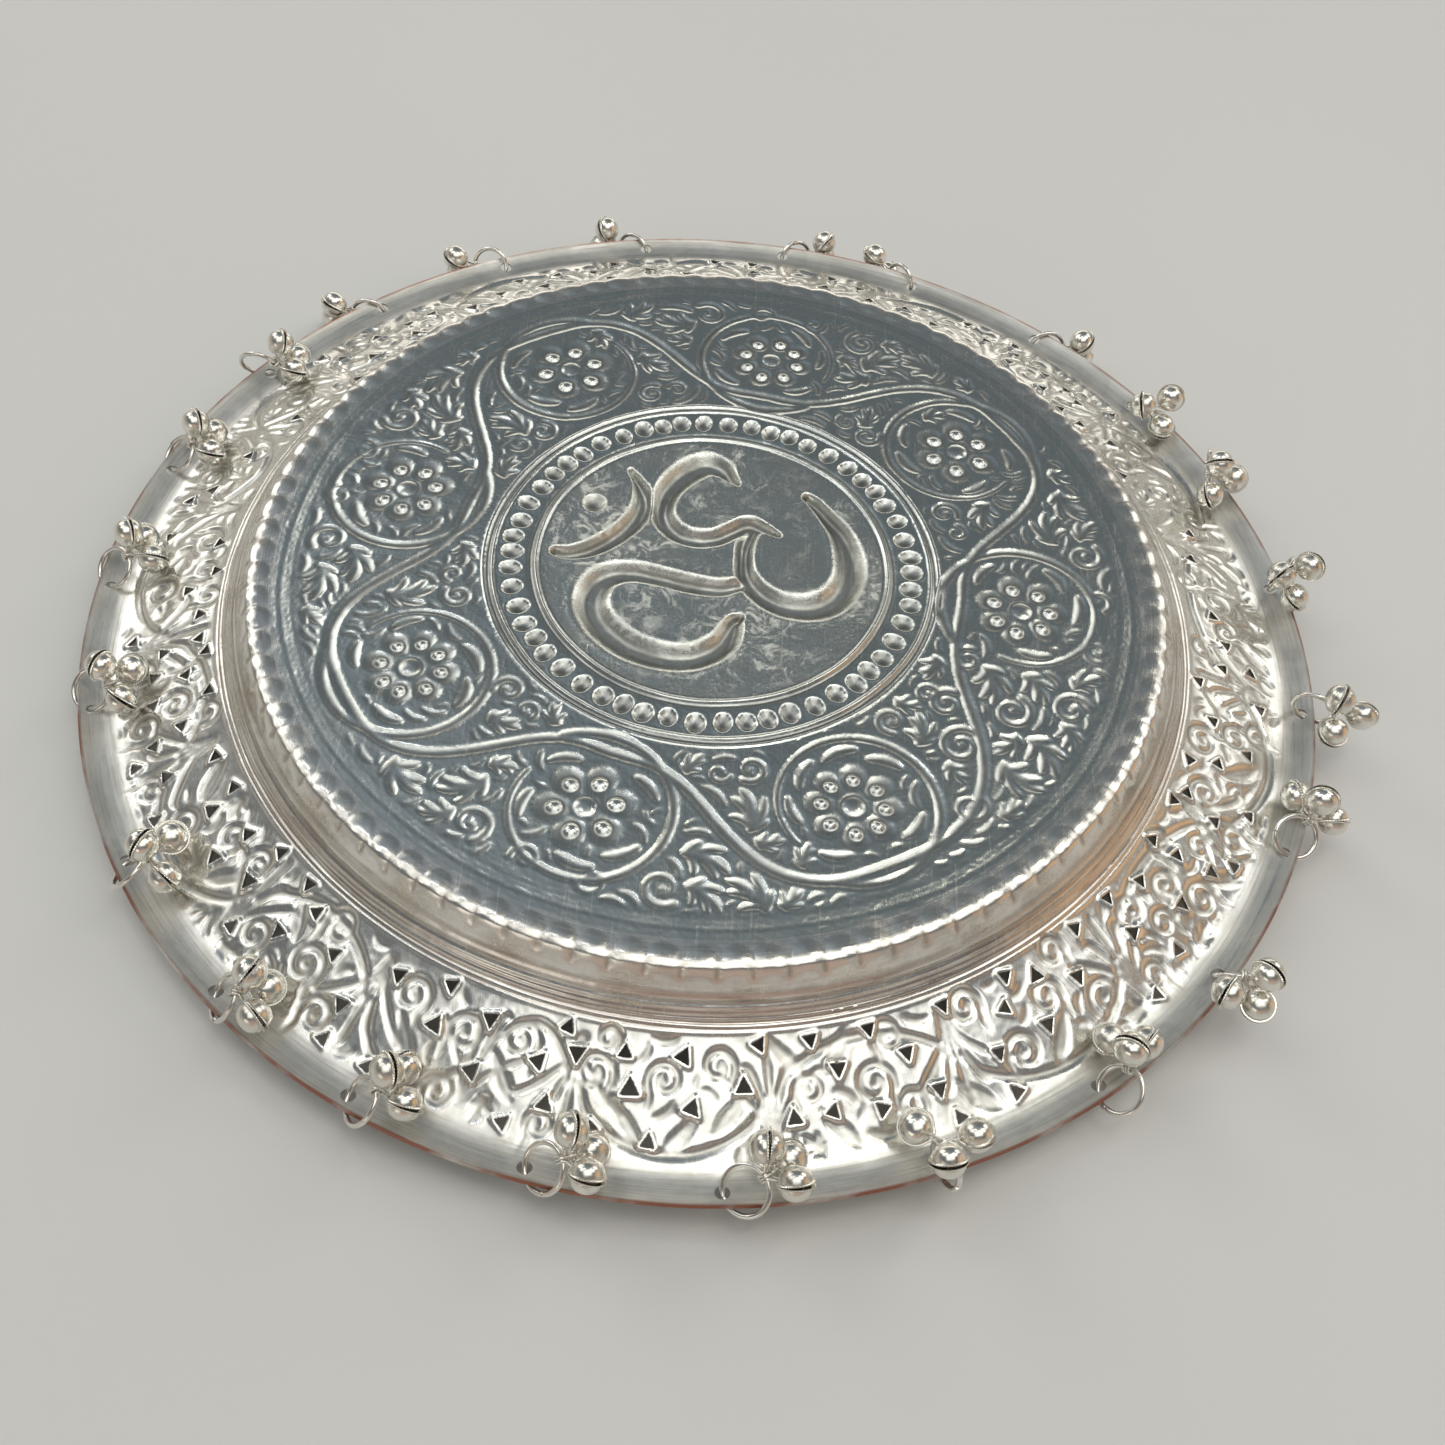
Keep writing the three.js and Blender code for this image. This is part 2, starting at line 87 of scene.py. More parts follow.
# Triangular piercings: angle, radius, turn, side
HOLES = [
    (3.9,128.2,-8,3.0), (12.7,127.6,23,3.0), (17.1,131.8,20,3.0), (26.7,121.6,-36,3.0), (33.0,128.0,27,3.0), (37.1,123.7,44,3.0),
    (38.2,140.4,-42,3.0), (40.6,123.3,-27,3.0), (41.1,132.3,30,3.0), (42.8,121.6,-42,3.0), (43.8,134.5,26,3.0), (45.1,126.7,-17,3.0),
    (47.3,135.1,-3,3.1), (48.5,121.6,-45,3.0), (51.4,129.2,4,3.0), (52.2,136.3,-11,3.0), (53.6,141.5,42,3.0), (56.3,135.3,42,3.2),
    (57.2,123.7,-48,3.0), (60.0,140.7,21,3.0), (62.0,122.7,-55,3.0), (62.8,129.0,38,3.4), (67.4,133.1,-47,3.3), (67.8,124.9,60,3.1),
    (72.0,130.2,-40,3.6), (72.1,121.6,57,3.0), (74.2,138.4,35,3.0), (77.1,121.6,-37,3.0), (78.0,141.1,34,3.0), (78.2,132.3,-24,3.2),
    (79.8,124.5,51,3.0), (84.1,128.4,-56,3.0), (87.6,135.2,-40,3.4), (88.0,142.4,42,3.1), (90.8,124.6,-50,3.2), (92.6,142.4,43,3.0),
    (96.0,121.6,-51,3.0), (96.2,129.7,39,3.7), (100.9,124.5,-46,3.4), (101.0,134.8,58,3.6), (105.0,141.8,-55,3.1), (106.4,129.2,-60,3.5),
    (108.0,136.5,32,3.4), (108.3,121.6,40,3.0), (109.7,125.9,-38,3.7), (112.3,138.9,6,3.0), (114.1,124.2,28,3.0), (115.0,130.8,25,4.1),
    (117.1,140.1,34,3.2), (119.6,123.9,54,3.5), (120.6,133.4,48,3.5), (125.2,129.4,30,3.6), (126.8,121.6,-54,3.0), (129.5,135.8,27,3.3),
    (131.8,121.6,-34,3.0), (132.9,135.5,55,3.0), (134.0,127.7,-24,3.4), (137.2,136.8,-9,3.2), (137.7,121.6,-31,3.0), (140.7,127.8,-29,3.2),
    (142.6,136.1,-25,3.2), (143.5,142.4,14,3.0), (145.7,121.6,-34,3.0), (148.7,142.3,1,3.6), (155.0,126.0,29,3.0), (162.5,130.0,-49,3.0),
    (168.3,133.6,-25,3.3), (169.8,138.7,-45,3.0), (175.2,138.8,13,3.0), (177.5,123.2,43,3.0), (182.1,121.6,35,3.0), (184.3,128.0,27,3.0),
    (188.4,123.7,44,3.0), (189.5,140.4,-42,3.0), (191.9,123.3,-27,3.0), (192.4,132.3,30,3.0), (194.1,121.6,-42,3.0), (195.1,134.5,26,3.0),
    (196.4,126.7,-17,3.0), (198.6,135.1,-3,3.1), (199.8,121.6,-45,3.0), (202.7,129.2,4,3.0), (203.5,136.3,-11,3.0), (204.9,141.5,42,3.0),
    (207.6,135.3,42,3.2), (208.5,123.7,-48,3.0), (211.3,140.7,21,3.0), (213.3,122.7,-55,3.0), (214.1,129.0,38,3.4), (218.7,133.1,-47,3.3),
    (219.1,124.9,60,3.1), (223.3,130.2,-40,3.6), (223.4,121.6,57,3.0), (225.5,138.4,35,3.0), (228.4,121.6,-37,3.0), (229.3,141.1,34,3.0),
    (229.5,132.3,-24,3.2), (231.1,124.5,51,3.0), (235.4,128.4,-56,3.0), (238.9,135.2,-40,3.4), (239.3,142.4,42,3.1), (242.1,124.6,-50,3.2),
    (243.9,142.4,43,3.0), (247.3,121.6,-51,3.0), (247.5,129.7,39,3.7), (252.2,124.5,-46,3.4), (252.3,134.8,58,3.6), (256.3,141.8,-55,3.1),
    (257.7,129.2,-60,3.5), (259.3,136.5,32,3.4), (259.6,121.6,40,3.0), (261.0,125.9,-38,3.7), (263.6,138.9,6,3.0), (265.4,124.2,28,3.0),
    (266.3,130.8,25,4.1), (268.4,140.1,34,3.2), (270.9,123.9,54,3.5), (271.9,133.4,48,3.5), (276.5,129.4,30,3.6), (278.1,121.6,-54,3.0),
    (280.8,135.8,27,3.3), (283.1,121.6,-34,3.0), (284.2,135.5,55,3.0), (285.3,127.7,-24,3.4), (288.5,136.8,-9,3.2), (289.0,121.6,-31,3.0),
    (292.0,127.8,-29,3.2), (293.9,136.1,-25,3.2), (294.8,142.4,14,3.0), (297.0,121.6,-34,3.0), (300.3,142.2,6,3.4), (300.3,134.1,-22,3.0),
    (302.8,127.0,-60,3.0), (304.4,121.6,-14,3.0), (305.9,133.8,-21,3.4), (307.4,124.5,35,3.4), (311.2,129.4,-17,3.4), (314.1,121.6,-7,3.0),
    (316.8,142.4,-59,3.0), (319.1,130.2,4,3.3), (319.5,121.6,-24,3.0), (321.6,139.4,47,3.0), (324.0,124.4,-10,3.0), (325.6,134.4,-33,3.3),
    (329.0,121.6,8,3.0), (329.6,127.9,-16,3.0), (330.8,136.2,-34,3.1), (333.1,140.1,36,3.0), (335.1,121.6,-47,3.0), (336.1,132.1,23,3.0),
    (337.1,123.8,-7,3.0), (339.3,139.3,18,3.0), (341.3,122.0,59,3.0), (343.0,128.9,2,3.0), (346.2,135.9,25,3.1), (348.2,126.0,41,3.0),
    (352.9,138.7,49,3.0), (352.9,121.6,41,3.0), (356.3,128.5,35,3.0), (357.3,136.6,3,3.1), (360.0,130.4,53,3.0),
]
# Clusters: angle, ring centre from the hole, ring normal, eye direction and
# the three bells' directions, each as (outward, along the rim, up)
HANG = [
    (9.8, (2.8, 2.04, 3.6), (0.7597, -0.6006, -0.2493), (-0.261, -0.6327, 0.7291), ((0.58, -0.372, 0.725), (-0.555, -0.556, 0.619), (0.172, -0.97, -0.171))),
    (24.65, (0.82, 3.13, 3.81), (0.8235, -0.5121, 0.2442), (-0.5585, -0.6562, 0.5073), ((-0.122, -0.48, 0.869), (0.714, -0.695, 0.086), (-0.457, -0.866, -0.204))),
    (38.5, (0.84, -4.51, 1.98), (-0.4811, -0.4256, -0.7664), (-0.5382, -0.5467, 0.6414), ((0.606, -0.367, 0.706), (-0.118, -0.982, -0.15), (-0.658, -0.204, 0.725))),
    (52.76, (2.49, -3.55, -2.5), (-0.7228, -0.657, 0.2142), (0.678, -0.7342, 0.036), ((-0.567, -0.747, -0.346), (0.586, -0.679, -0.442), (0.122, -0.779, 0.615))),
    (68.81, (2.35, 4.34, -0.79), (0.8686, -0.4871, -0.0907), (0.4873, 0.873, -0.0216), ((-0.567, 0.615, -0.549), (0.699, 0.277, -0.659), (0.267, 0.917, 0.298))),
    (84.56, (2.51, -3.94, -1.8), (-0.7168, -0.6102, 0.3375), (0.5444, -0.7921, -0.2761), ((-0.593, -0.793, -0.142), (0.647, -0.697, -0.309), (0.194, -0.637, 0.746))),
    (100.71, (2.47, 3.79, -2.13), (0.7283, -0.6284, -0.2732), (0.6148, 0.7754, -0.1444), ((-0.647, 0.753, -0.122), (0.503, 0.786, -0.36), (0.142, 0.582, 0.8))),
    (117.47, (3.17, 3.85, -0.37), (0.6555, -0.5872, -0.4749), (0.5869, 0.7918, -0.1689), ((-0.696, 0.557, -0.454), (0.525, 0.595, -0.608), (0.033, 0.874, 0.485))),
    (133.02, (2.65, 3.38, -2.57), (0.7289, -0.6717, -0.1323), (0.6835, 0.7026, 0.1982), ((0.71, 0.531, -0.463), (-0.482, 0.749, -0.456), (0.092, 0.794, 0.601))),
    (148.77, (1.44, 2.09, 4.31), (0.4519, -0.8524, 0.263), (-0.8863, -0.3955, 0.241), ((-0.19, -0.377, 0.907), (-0.991, -0.089, 0.104), (-0.288, -0.955, -0.066))),
    (165.72, (-0.08, -4.41, 2.35), (-0.4508, -0.4131, -0.7913), (-0.6571, -0.4465, 0.6074), ((-0.483, -0.871, -0.089), (-0.203, -0.26, 0.944), (-0.955, 0.253, 0.154))),
    (181.87, (-0.2, -4.28, 2.58), (-0.4726, -0.4394, -0.7639), (-0.721, -0.3057, 0.6219), ((-0.455, -0.888, -0.058), (-0.166, -0.33, 0.929), (-0.979, 0.137, 0.15))),
    (196.83, (-0.08, -4.37, 2.42), (-0.4533, -0.425, -0.7835), (-0.891, 0.193, 0.4109), ((0.017, 0.021, 1.0), (-0.899, -0.306, 0.312), (-0.479, 0.839, 0.259))),
    (213.98, (0.32, 4.06, 2.9), (0.4186, -0.5494, 0.7231), (-0.7882, 0.1758, 0.5898), ((-0.308, 0.951, -0.027), (-0.032, 0.175, 0.984), (-0.972, -0.198, 0.129))),
    (229.43, (0.06, 3.91, 3.12), (0.5707, -0.5171, 0.6379), (-0.3289, 0.5679, 0.7545), ((0.02, 0.999, 0.04), (-0.868, 0.426, -0.255), (-0.501, 0.248, 0.829))),
    (244.08, (0.5, 3.92, 3.06), (0.4024, -0.594, 0.6966), (-0.5157, 0.4816, 0.7086), ((-0.076, 0.993, 0.087), (-0.367, 0.246, 0.897), (-0.945, 0.307, -0.109))),
    (259.23, (0.07, 4.11, 2.85), (0.5008, -0.4992, 0.7071), (-0.2779, 0.6809, 0.6776), ((0.351, 0.86, 0.371), (-0.625, 0.733, -0.27), (-0.54, 0.165, 0.825))),
    (274.49, (0.29, 4.52, 2.11), (0.4715, -0.3976, 0.7871), (-0.3217, 0.7535, 0.5733), ((0.314, 0.796, 0.517), (-0.629, 0.774, -0.075), (-0.529, 0.064, 0.846))),
    (291.34, (2.48, 0.61, 4.3), (0.0836, -0.9922, 0.0922), (-0.4509, 0.0449, 0.8914), ((0.626, -0.37, 0.687), (0.0, 0.998, 0.063), (-0.777, -0.616, -0.131))),
    (306.69, (3.74, 2.01, 2.64), (-0.1541, -0.6686, 0.7275), (-0.4605, 0.7001, 0.5458), ((-0.289, -0.062, 0.955), (-0.275, 0.911, 0.308), (-0.988, 0.154, 0.013))),
    (322.34, (3.72, 0.68, 3.28), (0.5427, -0.695, -0.4716), (0.2283, -0.4183, 0.8791), ((0.514, -0.071, 0.855), (0.853, -0.422, -0.306), (-0.026, -0.981, 0.192))),
    (337.3, (1.44, 4.24, 2.22), (0.3008, -0.5197, 0.7996), (0.2351, 0.853, 0.4659), ((0.761, 0.614, -0.211), (0.109, 0.297, 0.949), (-0.566, 0.822, -0.06))),
    (353.85, (1.89, -0.98, 4.52), (-0.3004, -0.9504, -0.0802), (0.7119, -0.2794, 0.6443), ((0.972, -0.199, 0.128), (0.03, -0.958, -0.285), (-0.041, -0.441, 0.896))),
]

# =============================================================================
# Relief drawn in plan on one height map
# =============================================================================
PX = 0.15
N = 2080
HALF = N * PX / 2
axis = ((np.arange(N) + 0.5) * PX - HALF).astype(np.float32)
cut = np.zeros((N, N), np.float32)         # grooves and dents, positive down
lips = np.zeros((N, N), np.float32)        # thin raised lines
bump = np.zeros((N, N), np.float32)        # added on top of all


def window(x0, x1, y0, y1):
    i0 = max(0, int((x0 + HALF) / PX) - 1)
    i1 = min(N, int((x1 + HALF) / PX) + 2)
    j0 = max(0, int((y0 + HALF) / PX) - 1)
    j1 = min(N, int((y1 + HALF) / PX) + 2)
    return slice(j0, j1), slice(i0, i1)


def smooth_path(points, step=0.7):
    """Catmull-Rom through the points, resampled about every step mm. Extra columns ride along."""
    p = np.array(points, float)
    p = np.vstack([2 * p[0] - p[1], p, 2 * p[-1] - p[-2]])
    out = []
    for k in range(1, len(p) - 2):
        a, b, c, d = p[k - 1], p[k], p[k + 1], p[k + 2]
        n = max(2, int(np.hypot(*(c - b)[:2]) / step) + 1)
        t = np.linspace(0, 1, n, endpoint=False)[:, None]
        out.append(0.5 * ((2 * b) + (c - a) * t + (2 * a - 5 * b + 4 * c - d) * t ** 2
                          + (3 * b - a - 3 * c + d) * t ** 3))
    out.append(p[-2][None])
    return np.vstack(out)


def reach(path, grow):
    """Distance to a path over its half width (third column), with the place along it and the side."""
    w = max(float(path[:, 2].max()), 0.1) * grow + 0.4
    sy, sx = window(path[:, 0].min() - w, path[:, 0].max() + w, path[:, 1].min() - w, path[:, 1].max() + w)
    u = np.full((sy.stop - sy.start, sx.stop - sx.start), 9.0, np.float32)
    s = np.zeros_like(u)
    side = np.zeros_like(u)
    run = 0.0
    for a, b in zip(path[:-1], path[1:]):
        d = b - a
        ln = math.hypot(d[0], d[1])
        if ln < 1e-6:
            continue
        g = max(a[2], b[2], 0.1) * grow + 0.2
        ty, tx = window(min(a[0], b[0]) - g, max(a[0], b[0]) + g, min(a[1], b[1]) - g, max(a[1], b[1]) + g)
        ly = slice(ty.start - sy.start, ty.stop - sy.start)
        lx = slice(tx.start - sx.start, tx.stop - sx.start)
        X = axis[tx][None, :]
        Y = axis[ty][:, None]
        qx, qy = X - a[0], Y - a[1]
        t = np.clip((qx * d[0] + qy * d[1]) / (ln * ln), 0, 1)
        ex, ey = qx - t * d[0], qy - t * d[1]
        dist = np.sqrt(ex * ex + ey * ey)
        q = dist / np.maximum(a[2] + t * (b[2] - a[2]), 0.05)
        view = u[ly, lx]
        near = q < view
        view[near] = q[near]
        s[ly, lx][near] = (run + t * ln)[near]
        side[ly, lx][near] = (np.sign(d[0] * qy - d[1] * qx) * dist)[near]
        run += ln
    return sy, sx, u, s, side, run


def step01(x):
    x = np.clip(x, 0, 1)
    return x * x * (3 - 2 * x)


def groove(points, depth, lip=0.0, shape="round", step=0.7, where=None):
    path = smooth_path(points, step)
    path[:, 2] = np.maximum(path[:, 2], 0.12)
    sy, sx, u, s, side, run = reach(path, 1.9)
    if shape == "round":
        f = np.clip(1 - u * u, 0, 1) ** 1.25
    else:
        f = step01((1.05 - u) / 0.62)
    cut[sy, sx] = np.maximum(cut[sy, sx], depth * f)
    if lip:
        lips[sy, sx] = np.maximum(lips[sy, sx], lip * np.exp(-((u - 1.22) / 0.3) ** 2))


def ridge(points, height, step=0.7):
    path = smooth_path(points, step)
    path[:, 2] = np.maximum(path[:, 2], 0.12)
    sy, sx, u, s, side, run = reach(path, 2.2)
    lips[sy, sx] = np.maximum(lips[sy, sx], height * np.exp(-(u / 0.8) ** 2))


def leaf(points, depth, veins=True, pitch=1.25, lean=0.9, lip=0.14):
    """A tapering leaf sunk between its outlines, with combed veins off a midrib."""
    path = smooth_path(points, 0.6)
    path[:, 2] = np.maximum(path[:, 2], 0.12)
    sy, sx, u, s, side, run = reach(path, 1.8)
    f = np.where(u < 1, step01((1.0 - u) / 0.55), 0)
    d = depth * f
    if veins:
        w = np.cos(2 * np.pi * (s + lean * np.abs(side)) / pitch)
        rib = np.exp(-(side / 0.28) ** 2)
        d = d * (1 - 0.38 * (0.5 + 0.5 * w) * step01((1 - u) / 0.3)) * (1 - 0.5 * rib)
    cut[sy, sx] = np.maximum(cut[sy, sx], d)
    lips[sy, sx] = np.maximum(lips[sy, sx], lip * np.exp(-((u - 1.2) / 0.28) ** 2))


def dent(x, y, rx, ry, turn, depth, lip=0.0, power=1.1):
    r = max(rx, ry) * 1.6
    sy, sx = window(x - r, x + r, y - r, y + r)
    X = axis[sx][None, :] - x
    Y = axis[sy][:, None] - y
    c, s = math.cos(turn), math.sin(turn)
    q = np.sqrt(((X * c + Y * s) / rx) ** 2 + ((-X * s + Y * c) / ry) ** 2)
    cut[sy, sx] = np.maximum(cut[sy, sx], depth * np.where(q < 1, np.clip(1 - q * q, 0, 1) ** power, 0))
    if lip:
        lips[sy, sx] = np.maximum(lips[sy, sx], lip * np.exp(-((q - 1.15) / 0.16) ** 2))


def knob(x, y, rx, ry, turn, height, power=0.8):
    """A rounded boss standing up."""
    r = max(rx, ry) * 1.2
    sy, sx = window(x - r, x + r, y - r, y + r)
    X = axis[sx][None, :] - x
    Y = axis[sy][:, None] - y
    c, s = math.cos(turn), math.sin(turn)
    q = ((X * c + Y * s) / rx) ** 2 + ((-X * s + Y * c) / ry) ** 2
    bump[sy, sx] = np.maximum(bump[sy, sx], height * np.clip(1 - q, 0, 1) ** power)


def volute(x, y, R, start, hand, depth=0.55, turns=1.25, width=0.62, lip=0.12):
    """A scroll end: a spiral groove round a bead."""
    t = np.linspace(0, 1, 22)
    r = R * (1 - 0.62 * t)
    a = start + hand * 2 * math.pi * turns * t
    w = width * (1 - 0.45 * t)
    groove(np.stack([x + r * np.cos(a), y + r * np.sin(a), w], 1), depth, lip, step=0.5)
    dent(x, y, R * 0.26, R * 0.26, 0, depth * 0.9)


# ---- emblem in the middle of the base (the traditional Om, seen from behind)
def T(px, py):
    return ((px - 746.0) * 0.15438, -(py - 752.0) * 0.15438)


def emblem(rows, depth, hw=0.15438):
    pts = [(*T(x, y), w * hw) for x, y, w in rows]
    path = smooth_path(pts, 0.6)
    path[:, 2] = np.maximum(path[:, 2], 0.25)
    sy, sx, u, s, side, run = reach(path, 1.8)
    f = step01((1.14 - u) / 0.92)
    cut[sy, sx] = np.maximum(cut[sy, sx], depth * f)
    lips[sy, sx] = np.maximum(lips[sy, sx], 0.10 * np.exp(-((u - 1.26) / 0.2) ** 2))


EM = 2.3
emblem([(499, 752, 9), (520, 754, 13), (548, 744, 16), (578, 722, 18), (606, 690, 19), (624, 652, 19), (626, 618, 16),
        (616, 588, 9), (599, 560, 2)], EM)
emblem([(779, 574, 2), (764, 558, 11), (748, 540, 20), (724, 534, 26), (696, 553, 27), (671, 587, 24), (659, 625, 20),
        (661, 660, 19), (682, 690, 19), (714, 702, 19), (748, 697, 18), (776, 678, 17), (800, 663, 17), (822, 668, 11),
        (849, 682, 3)], EM)
emblem([(806, 670, 15), (797, 700, 15), (795, 735, 14), (800, 772, 17), (822, 806, 21), (860, 828, 24), (905, 829, 27),
        (942, 806, 27), (962, 762, 26), (962, 715, 24), (948, 668, 19), (925, 632, 14), (905, 604, 11), (892, 592, 8)], EM)
emblem([(792, 792, 13), (760, 803, 17), (715, 800, 19), (668, 790, 19), (622, 784, 21), (586, 795, 25), (566, 824, 27),
        (566, 862, 27), (590, 902, 27), (632, 934, 27), (685, 949, 26), (732, 944, 25), (768, 918, 24), (781, 890, 19),
        (787, 868, 12), (796, 860, 5)], EM)
x, y = T(549, 643)
dent(x, y, 2.9, 2.9, 0, 1.15, 0.16, power=0.8)

# ---- rings round the emblem
rr = np.sqrt(axis[None, :] ** 2 + axis[:, None] ** 2)
th = np.arctan2(axis[:, None], axis[None, :])


def circle_ridge(r, hw, height, wob=0.0, seed=0):
    r0 = r + wob * (np.sin(3 * th + seed) + 0.6 * np.sin(7 * th + 2.1 * seed) + 0.4 * np.sin(13 * th + seed * 3.7))
    m = np.abs(rr - r) < hw * 3 + abs(wob) * 2
    lips[m] = np.maximum(lips[m], (height * np.exp(-((rr - r0) / hw) ** 2))[m])


def circle_groove(r, hw, depth, wob=0.0, seed=0):
    r0 = r + wob * (np.sin(3 * th + seed) + 0.6 * np.sin(7 * th + 2.1 * seed) + 0.4 * np.sin(13 * th + seed * 3.7))
    m = np.abs(rr - r) < hw * 3 + abs(wob) * 2
    cut[m] = np.maximum(cut[m], (depth * np.exp(-((rr - r0) / hw) ** 2))[m])


circle_ridge(42.75, 0.52, 0.62, 0.10, 1)
circle_groove(44.1, 0.55, 0.28, 0.08, 1)
circle_ridge(53.1, 0.45, 0.45, 0.10, 2)
circle_groove(54.2, 0.40, 0.30, 0.10, 2)
circle_ridge(55.3, 0.38, 0.30, 0.12, 3)
BEADS = 54
for k in range(BEADS):
    a = 2 * math.pi * (k + 0.3 + 0.12 * math.sin(5.1 * k)) / BEADS
    r = 48.75 + 0.3 * math.sin(2.7 * k)
    dent(r * math.cos(a), r * math.sin(a), 2.75 + 0.15 * math.sin(1.9 * k), 2.25 + 0.14 * math.cos(3.3 * k),
         a + 0.15 * math.sin(4.4 * k), 1.05, 0.08, power=0.95)

# ---- eight flower medallions joined by a running stem
FLOWERS = [(36.7, 76.2), (81.2, 76.2), (122.4, 77.4), (167.7, 78.6), (210.6, 77.4), (252.5, 77.2), (297.0, 76.6), (354.0, 75.4)]
RINGR = 20.2


def polar(a, r):
    return r * math.cos(math.radians(a)), r * math.sin(math.radians(a))


# a coarse map of what is already chased, so that leaves fill only clear ground
CELL = 0.45
NC = int(2 * HALF / CELL)


def taken_map(lo, hi):
    k = 3
    m = (cut > 0.16) | (lips > 0.10) | (bump > 0.1)
    m = m[:N // k * k, :N // k * k].reshape(N // k, k, N // k, k).any((1, 3))
    ax_ = (np.arange(N // k) + 0.5) * PX * k - HALF
    r_ = np.sqrt(ax_[None] ** 2 + ax_[:, None] ** 2)
    return m | (r_ < lo) | (r_ > hi)


class Ground:
    def __init__(self, lo, hi):
        self.m = taken_map(lo, hi)
        self.px = PX * 3
        self.n = len(self.m)

    def _win(self, x, y, r):
        i = int((x + HALF) / self.px)
        j = int((y + HALF) / self.px)
        k = int(math.ceil(r / self.px))
        return slice(max(0, j - k), j + k + 1), slice(max(0, i - k), i + k + 1)

    def clear(self, x, y, r):
        sy, sx = self._win(x, y, r)
        w = self.m[sy, sx]
        if not w.any():
            return True
        jj, ii = np.nonzero(w)
        dx = (ii + sx.start + 0.5) * self.px - HALF - x
        dy = (jj + sy.start + 0.5) * self.px - HALF - y
        return bool((dx * dx + dy * dy > r * r).all())

    def mark(self, path, extra):
        for x, y, w in path:
            sy, sx = self._win(x, y, w + extra)
            gy = (np.arange(sy.start, sy.stop) + 0.5) * self.px - HALF - y
            gx = (np.arange(sx.start, sx.stop) + 0.5) * self.px - HALF - x
            blk = self.m[sy, sx]
            blk |= (gx[None, :blk.shape[1]] ** 2 + gy[:blk.shape[0], None] ** 2) < (w + extra) ** 2


def comma(x, y, ang, length, width, curl):
    """Backbone of one leaf lobe: slim at the root, full near the curling tip."""
    out = []
    a = ang
    px, py = x, y
    n = 7
    for i in range(n):
        t = i / (n - 1)
        w = width * (0.28 + 0.72 * math.sin(math.pi * min(1.0, 0.12 + 0.80 * t)) ** 0.9) * (1.0 if t < 0.95 else 0.55)
        out.append((px, py, w))
        a += curl / (n - 1)
        px += math.cos(a) * length / (n - 1)
        py += math.sin(a) * length / (n - 1)
    return out


def fill(ground, spots, sizes, direction, depth, lip, gap, seed):
    """Lays leaf lobes on clear ground, the largest first, all running with a direction field."""
    rnd = np.random.default_rng(seed)
    count = 0
    for length, width in sizes:
        order = rnd.permutation(len(spots))
        for q in order:
            x, y = spots[q]
            if not ground.clear(x, y, width * 0.9 + gap):
                continue
            a, curl = direction(x, y)
            for da, cs in ((0.0, 1), (0.3, 1), (-0.3, 1), (0.6, 1), (-0.6, -1), (1.0, -1), (-1.0, -1), (3.1, 1)):
                path = comma(x - math.cos(a + da) * length * 0.4, y - math.sin(a + da) * length * 0.4, a + da, length, width, curl * cs)
                if all(ground.clear(px, py, w + gap) for px, py, w in path):
                    groove(path, depth * (0.75 + 0.25 * min(1.0, width / 1.4)), lip, step=0.9)
                    ground.mark(path, 0.12)
                    count += 1
                    break
    return count


def sprays(ground, spots, direction, scales, depth, lip, seed, gap=0.2):
    """Acanthus-like sprays on clear ground: lobes that fan from one root and curl outward, on a bent midrib."""
    rnd = np.random.default_rng(seed)
    made = 0
    for size in scales:
        for q in rnd.permutation(len(spots)):
            x, y = spots[q]
            if not ground.clear(x, y, 1.3 * size):
                continue
            a, curl = direction(x, y)
            for turn in (0.0, 0.5, -0.5, 1.1, -1.1, 3.14):
                b = a + turn
                hand = 1 if curl > 0 else -1
                rx, ry = x - math.cos(b) * 3.6 * size, y - math.sin(b) * 3.6 * size
                fan = []
                for j, (da, ln, wd, cu, along) in enumerate(((0.85, 4.4, 0.95, 1.3, 0.9), (0.40, 6.6, 1.15, 1.1, 1.5), (-0.02, 8.6, 1.35, 1.0, 0.5),
                                                             (-0.52, 6.4, 1.10, 0.7, 1.2), (-1.05, 4.0, 0.90, 0.4, 0.4))):
                    sx_, sy_ = rx + math.cos(b) * along * size, ry + math.sin(b) * along * size
                    fan.append(comma(sx_, sy_, b + hand * da * 0.75, ln * size, wd * size, hand * cu))
                if all(ground.clear(px, py, w * 0.9 + gap) for path in fan for px, py, w in path):
                    for path in fan:
                        groove(path, depth, lip, step=0.8)
                        ground.mark(path, 0.14)
                    made += 1
                    break
    return made


def scroll(x, y, R, start, hand, depth, turns=1.15, width=1.1, lip=0.10, shrink=0.66):
    """A broad scroll whose end closes on a bead."""
    t = np.linspace(0, 1, 20)
    r = R * (1 - shrink * t ** 0.9)
    a = start + hand * 2 * math.pi * turns * t
    w = width * (1 - 0.5 * t)
    groove(np.stack([x + r * np.cos(a), y + r * np.sin(a), w], 1), depth, lip, step=0.6)
    dent(x + 0.1 * R * math.cos(start), y + 0.1 * R * math.sin(start), R * 0.24, R * 0.24, 0, depth)


SPOTS_IN = []


